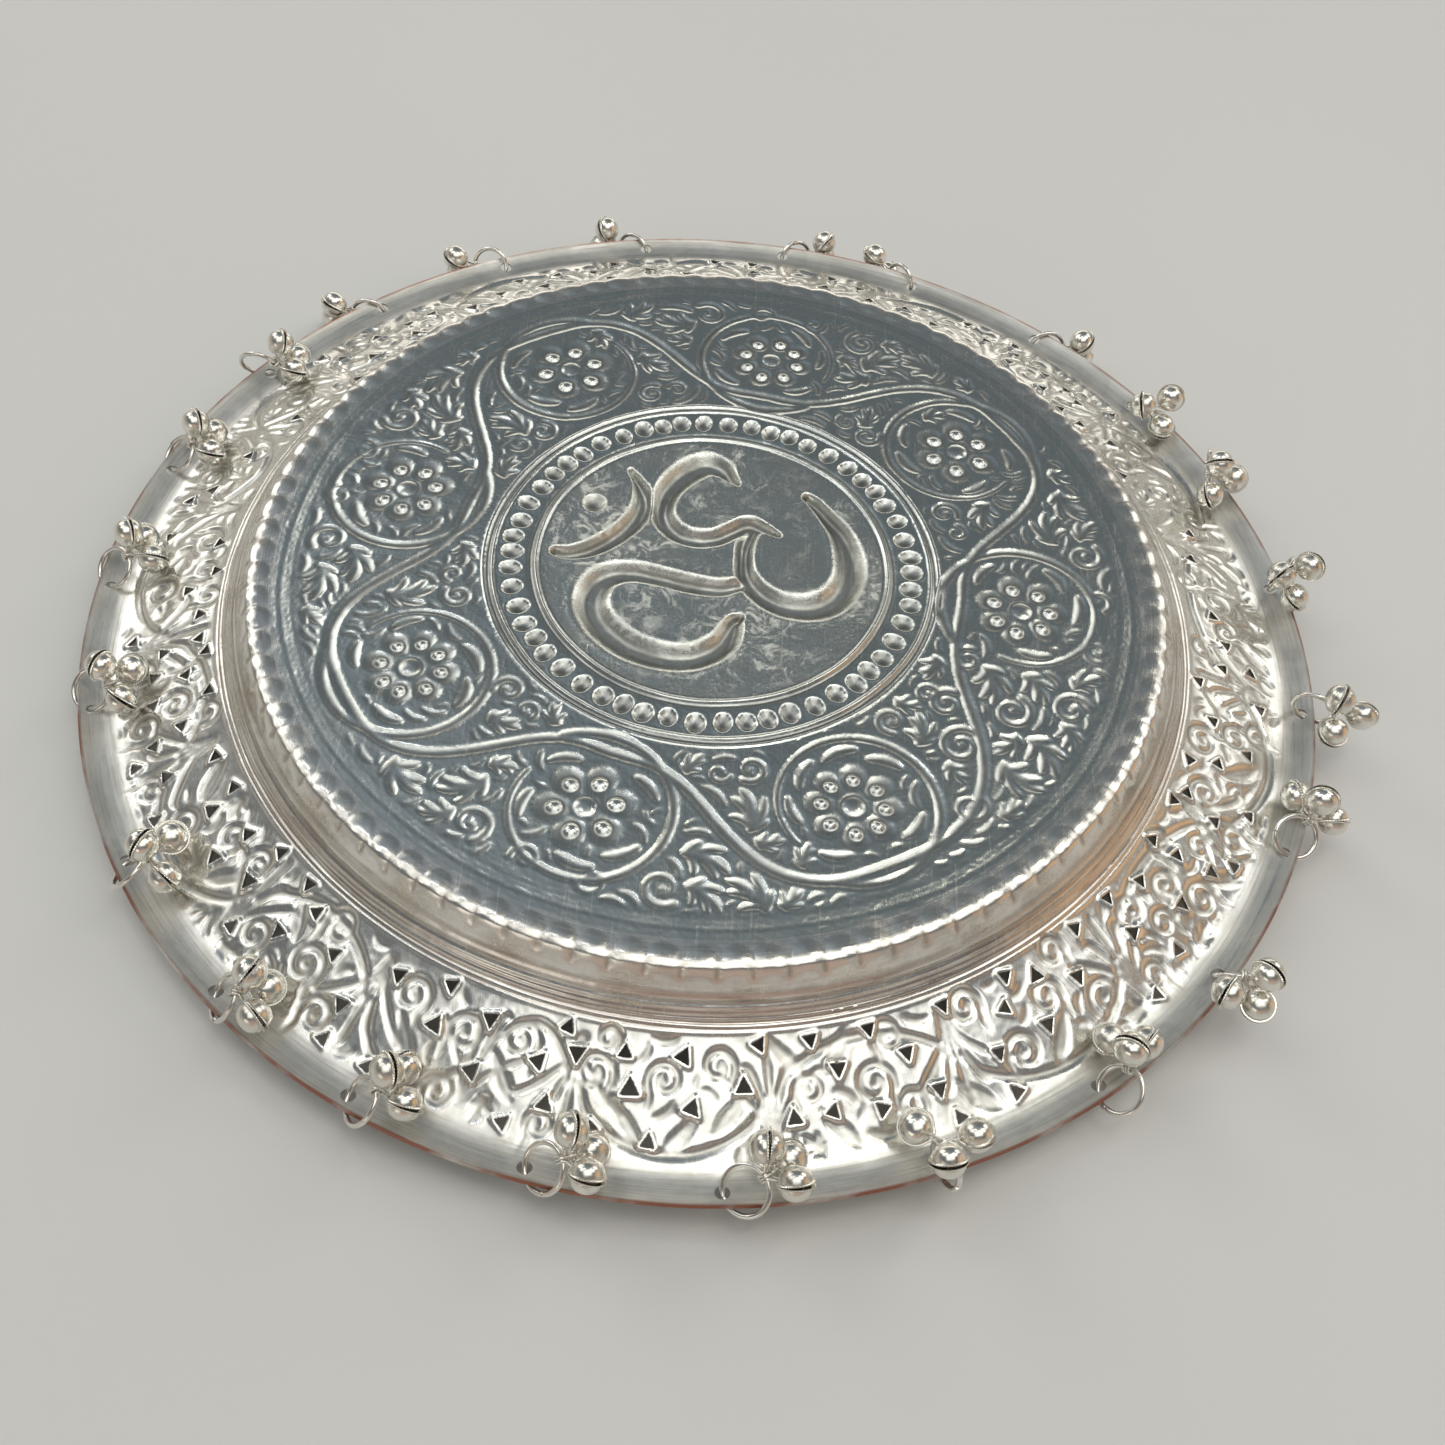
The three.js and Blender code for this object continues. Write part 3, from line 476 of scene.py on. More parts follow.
def medallion(k, az, rc):
    cx, cy = polar(az, rc)
    a = math.radians(az)
    flip = 1 if k % 2 else -1              # odd flowers hang from the stem's outer side
    ux, uy = -math.sin(a), math.cos(a)     # along
    vx, vy = math.cos(a) * flip, math.sin(a) * flip

    def P(u, v):
        return cx + u * ux + v * vx, cy + u * uy + v * vy

    def arc(r0, r1, a0, a1, w0, w1, n=16, du=0.0, dv=0.0):
        out = []
        for i in range(n + 1):
            t = i / n
            r = r0 + (r1 - r0) * t
            b = math.radians(a0 + (a1 - a0) * t)
            out.append((*P(du + r * math.cos(b), dv + r * math.sin(b)), w0 + (w1 - w0) * t))
        return out

    # flower: boss, petals with a raised dimple and a comb of short lines
    petals = (6, 8, 6, 7, 8, 6, 8, 7)[k]
    turn0 = 0.4 + 1.3 * k
    rp = 7.3 + 0.2 * (petals - 6)
    pr = 3.85 if petals == 6 else (3.5 if petals == 7 else 3.15)
    for i in range(petals):
        b = turn0 + 2 * math.pi * i / petals + 0.06 * math.sin(5 * i + k)
        px, py = P(rp * math.cos(b), rp * math.sin(b))
        dx, dy = px - cx, py - cy
        ang = math.atan2(dy, dx)
        dent(px, py, pr * 1.12, pr * 0.98, ang, 0.95, 0.12, power=0.8)
        qx, qy = cx + dx * 0.92, cy + dy * 0.92
        knob(qx, qy, pr * 0.52, pr * 0.48, ang, 0.95, power=0.9)
        for c in range(-3, 4):
            e = ang + c * 0.12
            r0, r1 = rp + pr * 0.70, rp + pr * 1.20
            ridge([(cx + r0 * math.cos(e), cy + r0 * math.sin(e), 0.16),
                   (cx + r1 * math.cos(e), cy + r1 * math.sin(e), 0.2)], 0.24)
    dent(cx, cy, 3.3, 3.3, 0, 0.9, 0.10, power=0.8)
    knob(cx, cy, 2.7, 2.7, 0, 0.85, power=0.8)

    # the scroll that goes round it, broad at the stem and fine at its end
    groove(arc(RINGR - 0.4, RINGR - 1.6, -128, 60, 1.45, 1.25, 22), 0.85, 0.14)
    groove(arc(RINGR - 1.6, RINGR - 4.4, 60, 196, 1.25, 0.6, 18), 0.75, 0.12)
    ridge(arc(RINGR + 1.3, RINGR + 0.9, -120, 150, 0.2, 0.2, 22), 0.20)
    # leading leaves that run with the scroll, each with three lobes
    for b0, s0, size in ((20, 1, 1.0), (62, 1, 1.05), (104, 1, 1.0), (150, 1, 0.9), (-30, -1, 0.95), (-72, -1, 1.0), (214, 1, 0.9)):
        r_ = 15.4 - (0.9 if b0 > 100 else 0.0)
        for lobe, (dr, db, ln, wd, cu) in enumerate(((0.0, 0, 8.2, 1.65, -0.9), (1.7, 10, 5.6, 1.2, 0.9), (-2.2, 9, 4.6, 1.05, -1.2))):
            e = math.radians(b0 + s0 * db)
            x, y = P((r_ + dr) * math.cos(e), (r_ + dr) * math.sin(e))
            x2, y2 = P((r_ + dr) * math.cos(e + 0.05 * s0), (r_ + dr) * math.sin(e + 0.05 * s0))
            LEAD.append((x, y, math.atan2(y2 - y, x2 - x), ln * size, wd * size, cu * flip * s0))
    for b0 in range(0, 360, 9):
        for r_ in (12.2, 13.8, 15.4, 17.0, 18.6):
            SPOTS_IN.append(P(r_ * math.cos(math.radians(b0)), r_ * math.sin(math.radians(b0))))


LEAD = []
for k, (az, rc) in enumerate(FLOWERS):
    medallion(k, az, rc)

# the running stem: outside one flower, inside the next
for k in range(8):
    a0, r0 = FLOWERS[k]
    a1, r1 = FLOWERS[(k + 1) % 8]
    if a1 < a0:
        a1 += 360
    s = 1 if k % 2 == 0 else -1            # +1: starts on the outer side
    wide = (a1 - a0) > 50
    pts = []
    for i in range(27):
        t = i / 26
        e = (1 - math.cos(math.pi * np.clip((t - 0.10) / 0.80, 0, 1))) / 2
        r = (r0 * (1 - t) + r1 * t) + s * 20.6 * (1 - 2 * e)
        r = 78.0 + 20.0 * math.tanh((r - 78.0) / 20.0) * 1.02
        pts.append((*polar(a0 + (a1 - a0) * t, r), 1.5))
    groove(pts, 0.9, 0.16)
    am = (a0 + a1) / 2
    # corner scrolls between stem and band lines, on both sides
    for side in (1, -1):
        rb = 92.6 if side > 0 else 61.6
        q = am + (-s * side) * (-(8.0 if not wide else 11.0) if side > 0 else -(6.6 if not wide else 11.0))
        x, y = polar(q, rb)
        scroll(x, y, 4.7 if side > 0 else 3.6, math.radians(q + 40 * side), s * side, 0.75, 1.1, 1.15, 0.12)
        q = am + (-s * side) * (-(17.0 if not wide else 23.0) if side > 0 else 0.0)
        x, y = polar(q, rb + (1.5 if side > 0 else 0.8))
        scroll(x, y, 3.4 if side > 0 else 2.6, math.radians(q - 70 * side), -s * side, 0.7, 1.0, 0.95, 0.12)
    if wide:
        for q, r, R, h in ((am - 5.5, 77, 5.2, 1), (am + 6.0, 81, 4.9, -1), (am + 0.5, 67.5, 4.0, 1), (am - 13, 89.5, 4.0, -1), (am + 13, 66, 3.6, 1)):
            x, y = polar(q, r)
            scroll(x, y, R, math.radians(q + 90), h, 0.75, 1.2, 1.15, 0.12)


def nearest_flower(x, y):
    best = None
    for k, (az, rc) in enumerate(FLOWERS):
        cx, cy = polar(az, rc)
        d = math.hypot(x - cx, y - cy)
        if best is None or d < best[0]:
            best = (d, cx, cy, k)
    return best


def swirl(x, y):
    d, cx, cy, k = nearest_flower(x, y)
    h = 1 if k % 2 else -1
    a = math.atan2(y - cy, x - cx) + h * math.pi / 2
    inward = 0.5 if d < RINGR else -0.55
    return a + h * inward, h * (1.3 if d < RINGR else -1.1)


field_ground = Ground(56.4, 99.0)
for x, y, a, ln, wd, cu in LEAD:
    path = comma(x, y, a, ln, wd, cu)
    if all(field_ground.clear(px, py, w * 0.75) for px, py, w in path):
        groove(path, 0.85, 0.10, step=0.8)
        field_ground.mark(path, 0.12)
spots = list(SPOTS_IN)
for r_ in np.arange(57.5, 99.0, 1.5):
    n_ = int(2 * math.pi * r_ / 1.5)
    for i in range(n_):
        spots.append(polar(360 * (i + 0.5 * (int(r_ * 2) % 2)) / n_, r_))
sprays(field_ground, spots, swirl, (1.3, 1.1, 0.92, 0.76), 1.0, 0.12, 31, 0.12)
fill(field_ground, spots, ((9.5, 1.45), (7.4, 1.2), (5.6, 1.0), (4.2, 0.82), (3.0, 0.62)), swirl, 0.72, 0.06, 0.26, 11)

# faint lines outside the medallions
circle_ridge(99.7, 0.36, 0.16, 0.30, 4)
circle_groove(101.9, 0.40, 0.26, 0.35, 4)
circle_ridge(102.6, 0.40, 0.10, 0.35, 4)

# ---- scallops round the corner of the base: low bosses; the lobed edge itself is in LOBES below
SCALLOPS = 94
for k in range(SCALLOPS):
    a = 2 * math.pi * (k + 0.05 * math.sin(2.3 * k)) / SCALLOPS
    r = 108.0 + 0.10 * math.sin(1.7 * k)
    knob(r * math.cos(a), r * math.sin(a), 2.8 + 0.15 * math.sin(4.1 * k), 3.3, a, 0.32 + 0.05 * math.sin(3.1 * k), power=1.1)

# ---- wall mouldings
for r, hw, h, w, sd in ((114.3, 0.24, 0.16, 0.10, 1.0), (115.3, 0.26, 0.34, 0.08, 2.2), (116.2, 0.20, 0.34, 0.08, 3.1), (117.0, 0.22, 0.40, 0.08, 4.4),
                        (118.0, 0.24, 0.34, 0.08, 5.5), (119.2, 0.28, 0.26, 0.10, 6.2)):
    circle_ridge(r, hw, h, w, sd)
circle_groove(113.6, 0.4, 0.16, 0.1, 7)
circle_groove(114.8, 0.3, 0.22, 0.08, 8)
circle_groove(117.5, 0.24, 0.20, 0.08, 8)

# ---- flange: running vine between trunks, scroll ends, combed leaves
TRUNKS = [(15.3, 1), (37.7, -1), (53.7, 1), (72.7, -1), (88.7, 1), (100.7, -1), (109.7, 1), (127.7, -1), (145.7, 1), (158.2, -1),
          (171.6, 1), (190.4, -1), (206.2, 1), (224.8, -1), (240.6, 1), (252.3, -1), (261.2, 1), (278.8, -1), (296.5, 1),
          (316.1, -1), (335.8, 1), (354.5, -1)]
VOLUTES = [(233.6, 133.3, 4.4, 1), (237.4, 139.7, 3.9, -1), (227.7, 135.9, 3.2, 1), (234.2, 123.8, 3.9, -1), (218.1, 128.0, 3.2, 1),
           (222.5, 126.4, 3.0, -1), (244.2, 126.4, 3.8, 1), (250.6, 128.7, 4.0, -1), (255.5, 126.3, 3.9, 1), (250.3, 140.6, 3.4, -1),
           (262.9, 128.9, 4.0, 1), (269.4, 128.5, 3.6, -1), (263.7, 122.2, 2.4, 1), (259.3, 140.4, 2.8, -1), (282.4, 131.0, 3.2, -1),
           (288.3, 131.8, 4.2, 1), (291.2, 137.5, 3.0, 1), (302.7, 136.1, 4.3, -1), (299.0, 123.4, 3.7, 1), (290.7, 123.9, 3.4, -1),
           (307.2, 129.1, 3.7, 1), (312.6, 135.9, 4.3, -1), (310.4, 122.4, 3.0, 1), (320.7, 126.7, 3.8, -1), (318.0, 139.4, 3.0, 1),
           (327.7, 137.4, 4.2, 1), (326.0, 129.3, 3.6, -1), (274.2, 125.5, 3.4, 1), (335.8, 138.1, 3.4, 1), (338.7, 128.0, 4.4, -1),
           (347.6, 132.4, 3.4, 1), (344.9, 124.2, 4.2, 1), (329.6, 123.2, 3.4, -1), (354.3, 137.3, 3.0, -1), (6.5, 131.4, 3.8, 1),
           (2.2, 131.6, 3.0, -1), (13.4, 130.9, 3.4, 1), (9.1, 123.8, 3.2, -1), (358.4, 123.8, 3.2, 1), (183.3, 135.5, 3.9, -1),
           (200.8, 138.2, 4.0, 1), (199.7, 130.0, 3.5, -1), (185.6, 122.6, 3.0, 1), (176.7, 126.6, 3.6, -1), (208.0, 139.4, 3.4, -1),
           (202.3, 123.0, 3.2, 1), (157.2, 124.6, 3.4, -1), (181.4, 124.9, 3.0, 1), (161.6, 128.5, 3.2, 1), (24.0, 130.5, 3.8, 1),
           (29.0, 125.4, 3.4, -1), (20.0, 137.5, 3.2, -1), (166.0, 137.0, 3.8, 1), (151.5, 133.0, 3.6, -1), (213.2, 135.5, 3.4, 1),
           (322.6, 133.6, 3.0, 1), (332.4, 131.4, 3.0, 1), (349.6, 138.4, 3.2, -1), (193.8, 137.4, 3.2, 1), (196.2, 125.4, 3.0, -1)]
LEAVES = [(221.4, 133.0), (254.9, 133.6), (275.3, 134.1), (280.6, 124.6), (293.9, 133.0), (297.0, 139.6), (351.0, 126.5), (343.6, 134.7),
          (188.9, 135.6), (229.9, 127.2), (285.3, 124.5), (266.3, 137.0), (306.4, 137.4), (210.8, 126.0), (171.0, 134.6), (331.0, 138.6),
          (12.0, 137.0), (19.5, 126.0), (27.5, 137.5), (245.6, 134.5), (271.0, 138.5), (284.6, 138.6), (359.5, 138.2)]
SHIFT = -151.3                              # the side away from view repeats the seen pattern
VOLUTES += [((a + SHIFT) % 360, r, R, h) for a, r, R, h in VOLUTES if 182.3 <= a <= 299.3]
LEAVES += [((a + SHIFT) % 360, r) for a, r in LEAVES if 182.3 <= a <= 299.3]

nt = len(TRUNKS)
for k in range(nt):
    a0, d0 = TRUNKS[k]
    a1, d1 = TRUNKS[(k + 1) % nt]
    if a1 < a0:
        a1 += 360
    # after an outward trunk the vine runs along the rim side, after an inward one along the foot
    hi = d0 > 0
    span = a1 - a0
    pts = []
    for i in range(21):
        t = i / 20
        arch = math.sin(math.pi * t) ** 0.55 if 0 < t < 1 else 0.0
        r = 131.5 + (10.6 if hi else -9.2) * arch
        pts.append((*polar(a0 + span * t + 0.55 * math.cos(math.pi * t), r), 1.15 * (0.7 + 0.3 * arch)))
    groove(pts, 0.85, 0.22, step=0.8)
    # sheaf of blades fanning from the trunk
    base_r, tip_r = (122.0, 140.5) if d0 > 0 else (141.5, 122.5)
    blades = 5 if span > 11 else 4
    for b in range(blades):
        f = (b - (blades - 1) / 2) / ((blades - 1) / 2)
        length = 1.0 - 0.28 * abs(f) ** 1.5 - 0.1 * (b % 2)
        tip = base_r + (tip_r - base_r) * length
        mid = base_r + (tip_r - base_r) * length * 0.5
        groove([(*polar(a0 + 0.3 * f, base_r), 0.25), (*polar(a0 + 1.15 * f, mid), 0.7), (*polar(a0 + 4.2 * f * abs(f) ** 0.3, tip), 0.95),
                (*polar(a0 + 5.4 * f, tip + (0.6 if d0 > 0 else -0.6) * (1 - abs(f))), 0.2)], 0.75, 0.24, step=0.7)

for a, r, R, h in VOLUTES:
    x, y = polar(a, r)
    scroll(x, y, R * 1.05, math.radians(a + 70 * h), h, 0.85, 1.25, 1.05, 0.24, 0.68)
    # stem tail into the spiral
    b = math.radians(a + 70 * h)
    x0, y0 = x + R * math.cos(b), y + R * math.sin(b)
    tx, ty = math.sin(b) * h, -math.cos(b) * h
    groove([(x0, y0, 0.95), (x0 + tx * 2.4 + 0.5 * math.cos(b), y0 + ty * 2.4 + 0.5 * math.sin(b), 0.8),
            (x0 + tx * 4.6 + 1.8 * math.cos(b), y0 + ty * 4.6 + 1.8 * math.sin(b), 0.3)], 0.7, 0.18, step=0.6)
for i, (a, r) in enumerate(LEAVES):
    s = 1 if i % 2 else -1
    leaf([(*polar(a - 1.6 * s, r - 4.4), 0.3), (*polar(a - 0.7 * s, r - 1.6), 1.6), (*polar(a + 0.5 * s, r + 1.6), 2.0), (*polar(a + 1.5 * s, r + 4.2), 0.3)],
         0.8, pitch=1.05, lean=0.7, lip=0.2)


def vine(x, y):
    a = math.atan2(y, x)
    d = math.degrees(a) % 360
    best = min(((abs((d - t + 180) % 360 - 180), (d - t + 180) % 360 - 180, o) for t, o in TRUNKS))
    return a + (0 if best[2] > 0 else math.pi) + 0.9 * (1 if best[1] > 0 else -1) * (1 if best[2] > 0 else -1), 1.3 * (1 if best[1] > 0 else -1)


# faint step between the pierced zone and the plain band
circle_ridge(144.7, 0.34, 0.12, 0.08, 9)
circle_groove(145.6, 0.34, 0.17, 0.08, 9)
circle_groove(147.3, 0.24, 0.08, 0.10, 12)
circle_ridge(148.0, 0.22, 0.09, 0.12, 13)
circle_groove(150.9, 0.30, 0.12, 0.08, 14)


# ---- piercings: clear the ornament round them and raise a lip
def triangle(a, r, turn, side):
    c, s = math.cos(math.radians(a)), math.sin(math.radians(a))
    out = []
    for i in range(3):
        t = math.radians(turn + 120 * i)
        o, l = side / math.sqrt(3) * math.sin(t), side / math.sqrt(3) * math.cos(t)
        out.append(((r + o) * c - l * s, (r + o) * s + l * c))
    out = np.array(out)
    area = 0.5 * ((out[1] - out[0])[0] * (out[2] - out[0])[1] - (out[1] - out[0])[1] * (out[2] - out[0])[0])
    return out if area > 0 else out[::-1]


def tri_sd(tri, X, Y):
    """Signed distance to a counterclockwise triangle, negative inside, and the nearest outline point."""
    best = np.full(np.broadcast(X, Y).shape, 1e9)
    nx = np.zeros_like(best)
    ny = np.zeros_like(best)
    inside = np.ones_like(best, bool)
    for i in range(3):
        a, b = tri[i], tri[(i + 1) % 3]
        d = b - a
        t = np.clip(((X - a[0]) * d[0] + (Y - a[1]) * d[1]) / (d @ d), 0, 1)
        qx, qy = a[0] + t * d[0], a[1] + t * d[1]
        dist = np.hypot(X - qx, Y - qy)
        m = dist < best
        best = np.where(m, dist, best)
        nx = np.where(m, qx, nx)
        ny = np.where(m, qy, ny)
        inside &= (d[0] * (Y - a[1]) - d[1] * (X - a[0])) > 0
    return np.where(inside, -best, best), nx, ny


TRIS = [triangle(*h) for h in HOLES]
for tri in TRIS:
    c = tri.mean(0)
    sy, sx = window(c[0] - 5.2, c[0] + 5.2, c[1] - 5.2, c[1] + 5.2)
    sd, _, _ = tri_sd(tri, axis[sx][None, :], axis[sy][:, None])
    keep = step01((sd - 0.55) / 0.7)
    cut[sy, sx] *= keep
    lips[sy, sx] *= keep
    lips[sy, sx] = np.maximum(lips[sy, sx], 0.29 * np.exp(-((sd - 0.42) / 0.36) ** 2) + 0.15 * np.exp(-(np.clip(sd, 0, 9) / 0.9) ** 2) * (sd < 2))

flange_ground = Ground(120.2, 144.0)
for tri in TRIS:
    c = tri.mean(0)
    flange_ground.mark([(c[0], c[1], 2.0)], 0.3)
spots = []
for r_ in np.arange(120.8, 143.9, 1.35):
    n_ = int(2 * math.pi * r_ / 1.35)
    for i in range(n_):
        spots.append(polar(360 * (i + 0.5 * (int(r_ * 2) % 2)) / n_, r_))
sprays(flange_ground, spots, vine, (1.0, 0.82, 0.66), 0.82, 0.14, 37)
fill(flange_ground, spots, ((7.4, 1.25), (5.6, 1.05), (4.2, 0.85), (3.0, 0.66)), vine, 0.7, 0.08, 0.28, 23)

HOLE_IN = RIM - math.hypot(*[v / MM for v in JOINTS["ring_01_swing"]["pos_m"][:2]])
RIM_HOLES = []
for j in JOINTS.values():
    if j["name"].startswith("ring_"):
        RIM_HOLES.append((j["pos_m"][0] / MM, j["pos_m"][1] / MM))
RIM_HOLE_R = 1.6
for x, y in RIM_HOLES:
    sy, sx = window(x - 4, x + 4, y - 4, y + 4)
    d = np.hypot(axis[sx][None, :] - x, axis[sy][:, None] - y)
    lips[sy, sx] = np.maximum(lips[sy, sx], 0.12 * np.exp(-((d - RIM_HOLE_R - 0.35) / 0.3) ** 2))

# ---- hand-beaten unevenness and a stippled ground behind the emblem
rng = np.random.default_rng(7)
fy = np.fft.fftfreq(N, PX)[:, None]
fx = np.fft.rfftfreq(N, PX)[None, :]
ff = np.sqrt(fx * fx + fy * fy)


def band_noise(scale, seed):
    w = np.random.default_rng(seed).standard_normal((N, N)).astype(np.float32)
    s = np.fft.rfft2(w) * np.exp(-((ff * scale - 1.0) / 0.55) ** 2)
    out = np.fft.irfft2(s, (N, N)).astype(np.float32)
    return out / out.std()


def blur(a, sigma):
    return np.fft.irfft2(np.fft.rfft2(a) * np.exp(-2 * (math.pi * sigma * ff) ** 2), (N, N)).astype(np.float32)


wave = 0.030 * band_noise(16.0, 1) + 0.012 * band_noise(6.0, 2)
grain = 0.006 * band_noise(2.2, 3)
ground = np.exp(-(np.clip(rr - 41.6, 0, None) / 0.4) ** 2) * np.clip(1 - cut / 0.5, 0, 1)
stipple = 0.042 * np.clip(band_noise(1.15, 4), -0.6, 2.2) * ground * (0.55 + 0.45 * np.clip(band_noise(9.0, 8), -1, 1))
field = ((rr > 44) & (rr < 104)).astype(np.float32)
rough_ground = 0.012 * band_noise(1.3, 5) * field * np.clip(1 - cut / 0.3, 0, 1)
rim_zone = (rr > 147).astype(np.float32)

# the hammered sheet rounds everything off, most of all in the field of the base and on the flange
worn = step01((rr - 55.6) / 1.2) * step01((104.0 - rr) / 1.0)
outer = step01((rr - 119.4) / 1.2)
near = np.zeros((N, N), np.float32)
for tri in TRIS:
    c = tri.mean(0)
    sy, sx = window(c[0] - 5.2, c[0] + 5.2, c[1] - 5.2, c[1] + 5.2)
    sd, _, _ = tri_sd(tri, axis[sx][None, :], axis[sy][:, None])
    near[sy, sx] = np.maximum(near[sy, sx], step01((1.5 - sd) / 0.8))
soft = (np.clip(worn + outer, 0, 1) * (1 - near)).astype(np.float32)
cutb = blur(cut, 0.16) * (1 - soft) + (blur(cut, 0.36) * 0.46 * worn + blur(cut, 0.46) * 0.66 * outer) * soft
mid = step01((41.2 - rr) / 0.8)
cutb = cutb * (1 - mid) + blur(cut, 0.34) * mid
lipb = blur(lips, 0.13) * (1 - soft) + (blur(lips, 0.30) * 0.45 * worn + blur(lips, 0.36) * 0.45 * outer) * soft
bumpb = blur(bump, 0.14)
emb = step01((rr - 104.3) / 1.0) * step01((114.2 - rr) / 1.0)
H = lipb * (1 - 0.75 * np.clip(cutb / 0.35, 0, 1)) - cutb + bumpb * np.where(rr < 104, 1.0, emb) + (wave + grain) * np.where(rr > 145, 0.5, 1.0) + stipple + rough_ground
# the lobed edge: the turn from base to wall moves out on each scallop and in between them
lobe_phase = SCALLOPS * th / 2
LOBES = (0.85 * np.abs(np.cos(lobe_phase)) ** 0.5 - 0.60) * (1 + 0.12 * np.sin(5 * th + 1.0))
turn_in = step01((rr - 107.6) / 2.0) * step01((112.6 - rr) / 1.5)
wr = np.array([108.0, 109.2, 110.3, 111.6, 113.4])
tilt = np.interp(rr, wr, [0.0, 0.10, 0.48, 0.80, 0.86])
H = H + (LOBES * tilt * turn_in).astype(np.float32)
H = H.astype(np.float32)
wide_mean = blur(H, 1.1)
CAV = np.clip((wide_mean - H) / np.where(rr > 56, 0.19, 0.28), -1, 1).astype(np.float32)


def sample(A, x, y):
    """Bicubic (Catmull-Rom) sample of a map at plan points."""
    gx = (np.asarray(x) + HALF) / PX - 0.5
    gy = (np.asarray(y) + HALF) / PX - 0.5
    ix = np.clip(np.floor(gx).astype(int), 1, N - 3)
    iy = np.clip(np.floor(gy).astype(int), 1, N - 3)
    tx, ty = gx - ix, gy - iy

    def wts(t):
        return (-0.5 * t + t * t - 0.5 * t ** 3, 1 - 2.5 * t * t + 1.5 * t ** 3,
                0.5 * t + 2 * t * t - 1.5 * t ** 3, -0.5 * t * t + 0.5 * t ** 3)

    wx, wy = wts(tx), wts(ty)
    out = 0
    for m in range(4):
        row = 0
        for n in range(4):
            row = row + A[iy + m - 1, ix + n - 1] * wx[n]
        out = out + row * wy[m]
    return out

# =============================================================================
# Sheet surfaces: profile swept round the axis plus the height map
# =============================================================================
def pchip(xs, ys):
    xs, ys = np.array(xs, float), np.array(ys, float)
    h = np.diff(xs)
    d = np.diff(ys) / h
    m = np.zeros(len(xs))
    for i in range(1, len(xs) - 1):
        if d[i - 1] * d[i] > 0:
            w1, w2 = 2 * h[i] + h[i - 1], h[i] + 2 * h[i - 1]
            m[i] = (w1 + w2) / (w1 / d[i - 1] + w2 / d[i])
    m[0], m[-1] = d[0], d[-1]

    def f(x):
        x = np.clip(x, xs[0], xs[-1])
        i = np.clip(np.searchsorted(xs, x) - 1, 0, len(xs) - 2)
        t = (x - xs[i]) / h[i]
        y = ((1 + 2 * t) * (1 - t) ** 2 * ys[i] + t * (1 - t) ** 2 * h[i] * m[i]
             + t * t * (3 - 2 * t) * ys[i + 1] + t * t * (t - 1) * h[i] * m[i + 1])
        return y
    return f


zprof = pchip([p[0] for p in WALL], [p[1] for p in WALL])


def slope(r):
    return (zprof(r + 0.05) - zprof(r - 0.05)) / 0.1


def rows(r0, r1, ds):
    r = np.linspace(r0, r1, 4000)
    z = zprof(r)
    s = np.concatenate([[0], np.cumsum(np.hypot(np.diff(r), np.diff(z)))])
    n = max(2, int(round(s[-1] / ds)) + 1)
    return np.interp(np.linspace(0, s[-1], n), s, r)


def sheet(x, y):
    """Top and bottom surface points of the sheet at plan points (before leaning with the normal)."""
    r = np.hypot(x, y)
    rs = np.maximum(r, 1e-6)
    h = sample(H, x, y)
    g = slope(np.clip(r, 0.1, RIM - 0.1))
    k = 1 / np.sqrt(1 + g * g)
    nr, nz = -g * k, k
    z = zprof(r)
    top = np.stack([x + h * nr * x / rs, y + h * nr * y / rs, z + h * nz], -1)
    hb = 0.85 * h - SHEET
    bot = np.stack([x + hb * nr * x / rs, y + hb * nr * y / rs, z + hb * nz], -1)
    return top, bot


def new_mesh(name, verts, faces_flat, starts, totals, smooth=True, sharp=50.0):
    me = bpy.data.meshes.new(name)
    me.vertices.add(len(verts))
    me.vertices.foreach_set("co", np.asarray(verts, np.float32).ravel())
    me.loops.add(len(faces_flat))
    me.loops.foreach_set("vertex_index", np.asarray(faces_flat, np.int32))
    me.polygons.add(len(starts))
    me.polygons.foreach_set("loop_start", np.asarray(starts, np.int32))
    me.update(calc_edges=True)
    me.validate()
    me.polygons.foreach_set("use_smooth", np.full(len(me.polygons), smooth))
    if sharp:
        me.set_sharp_from_angle(angle=math.radians(sharp))
    me.update()
    ob = bpy.data.objects.new(name, me)
    scene.collection.objects.link(ob)
    return ob


def quads_mesh(name, verts, quads, tris=None, sharp=50.0):
    q = np.asarray(quads, np.int64).reshape(-1, 4)
    flat = q.ravel()
    starts = np.arange(len(q)) * 4
    totals = np.full(len(q), 4)
    if tris is not None and len(tris):
        t = np.asarray(tris, np.int64).reshape(-1, 3)
        starts = np.concatenate([starts, len(flat) + np.arange(len(t)) * 3])
        totals = np.concatenate([totals, np.full(len(t), 3)])
        flat = np.concatenate([flat, t.ravel()])
    return new_mesh(name, verts, flat, starts, totals, True, sharp)


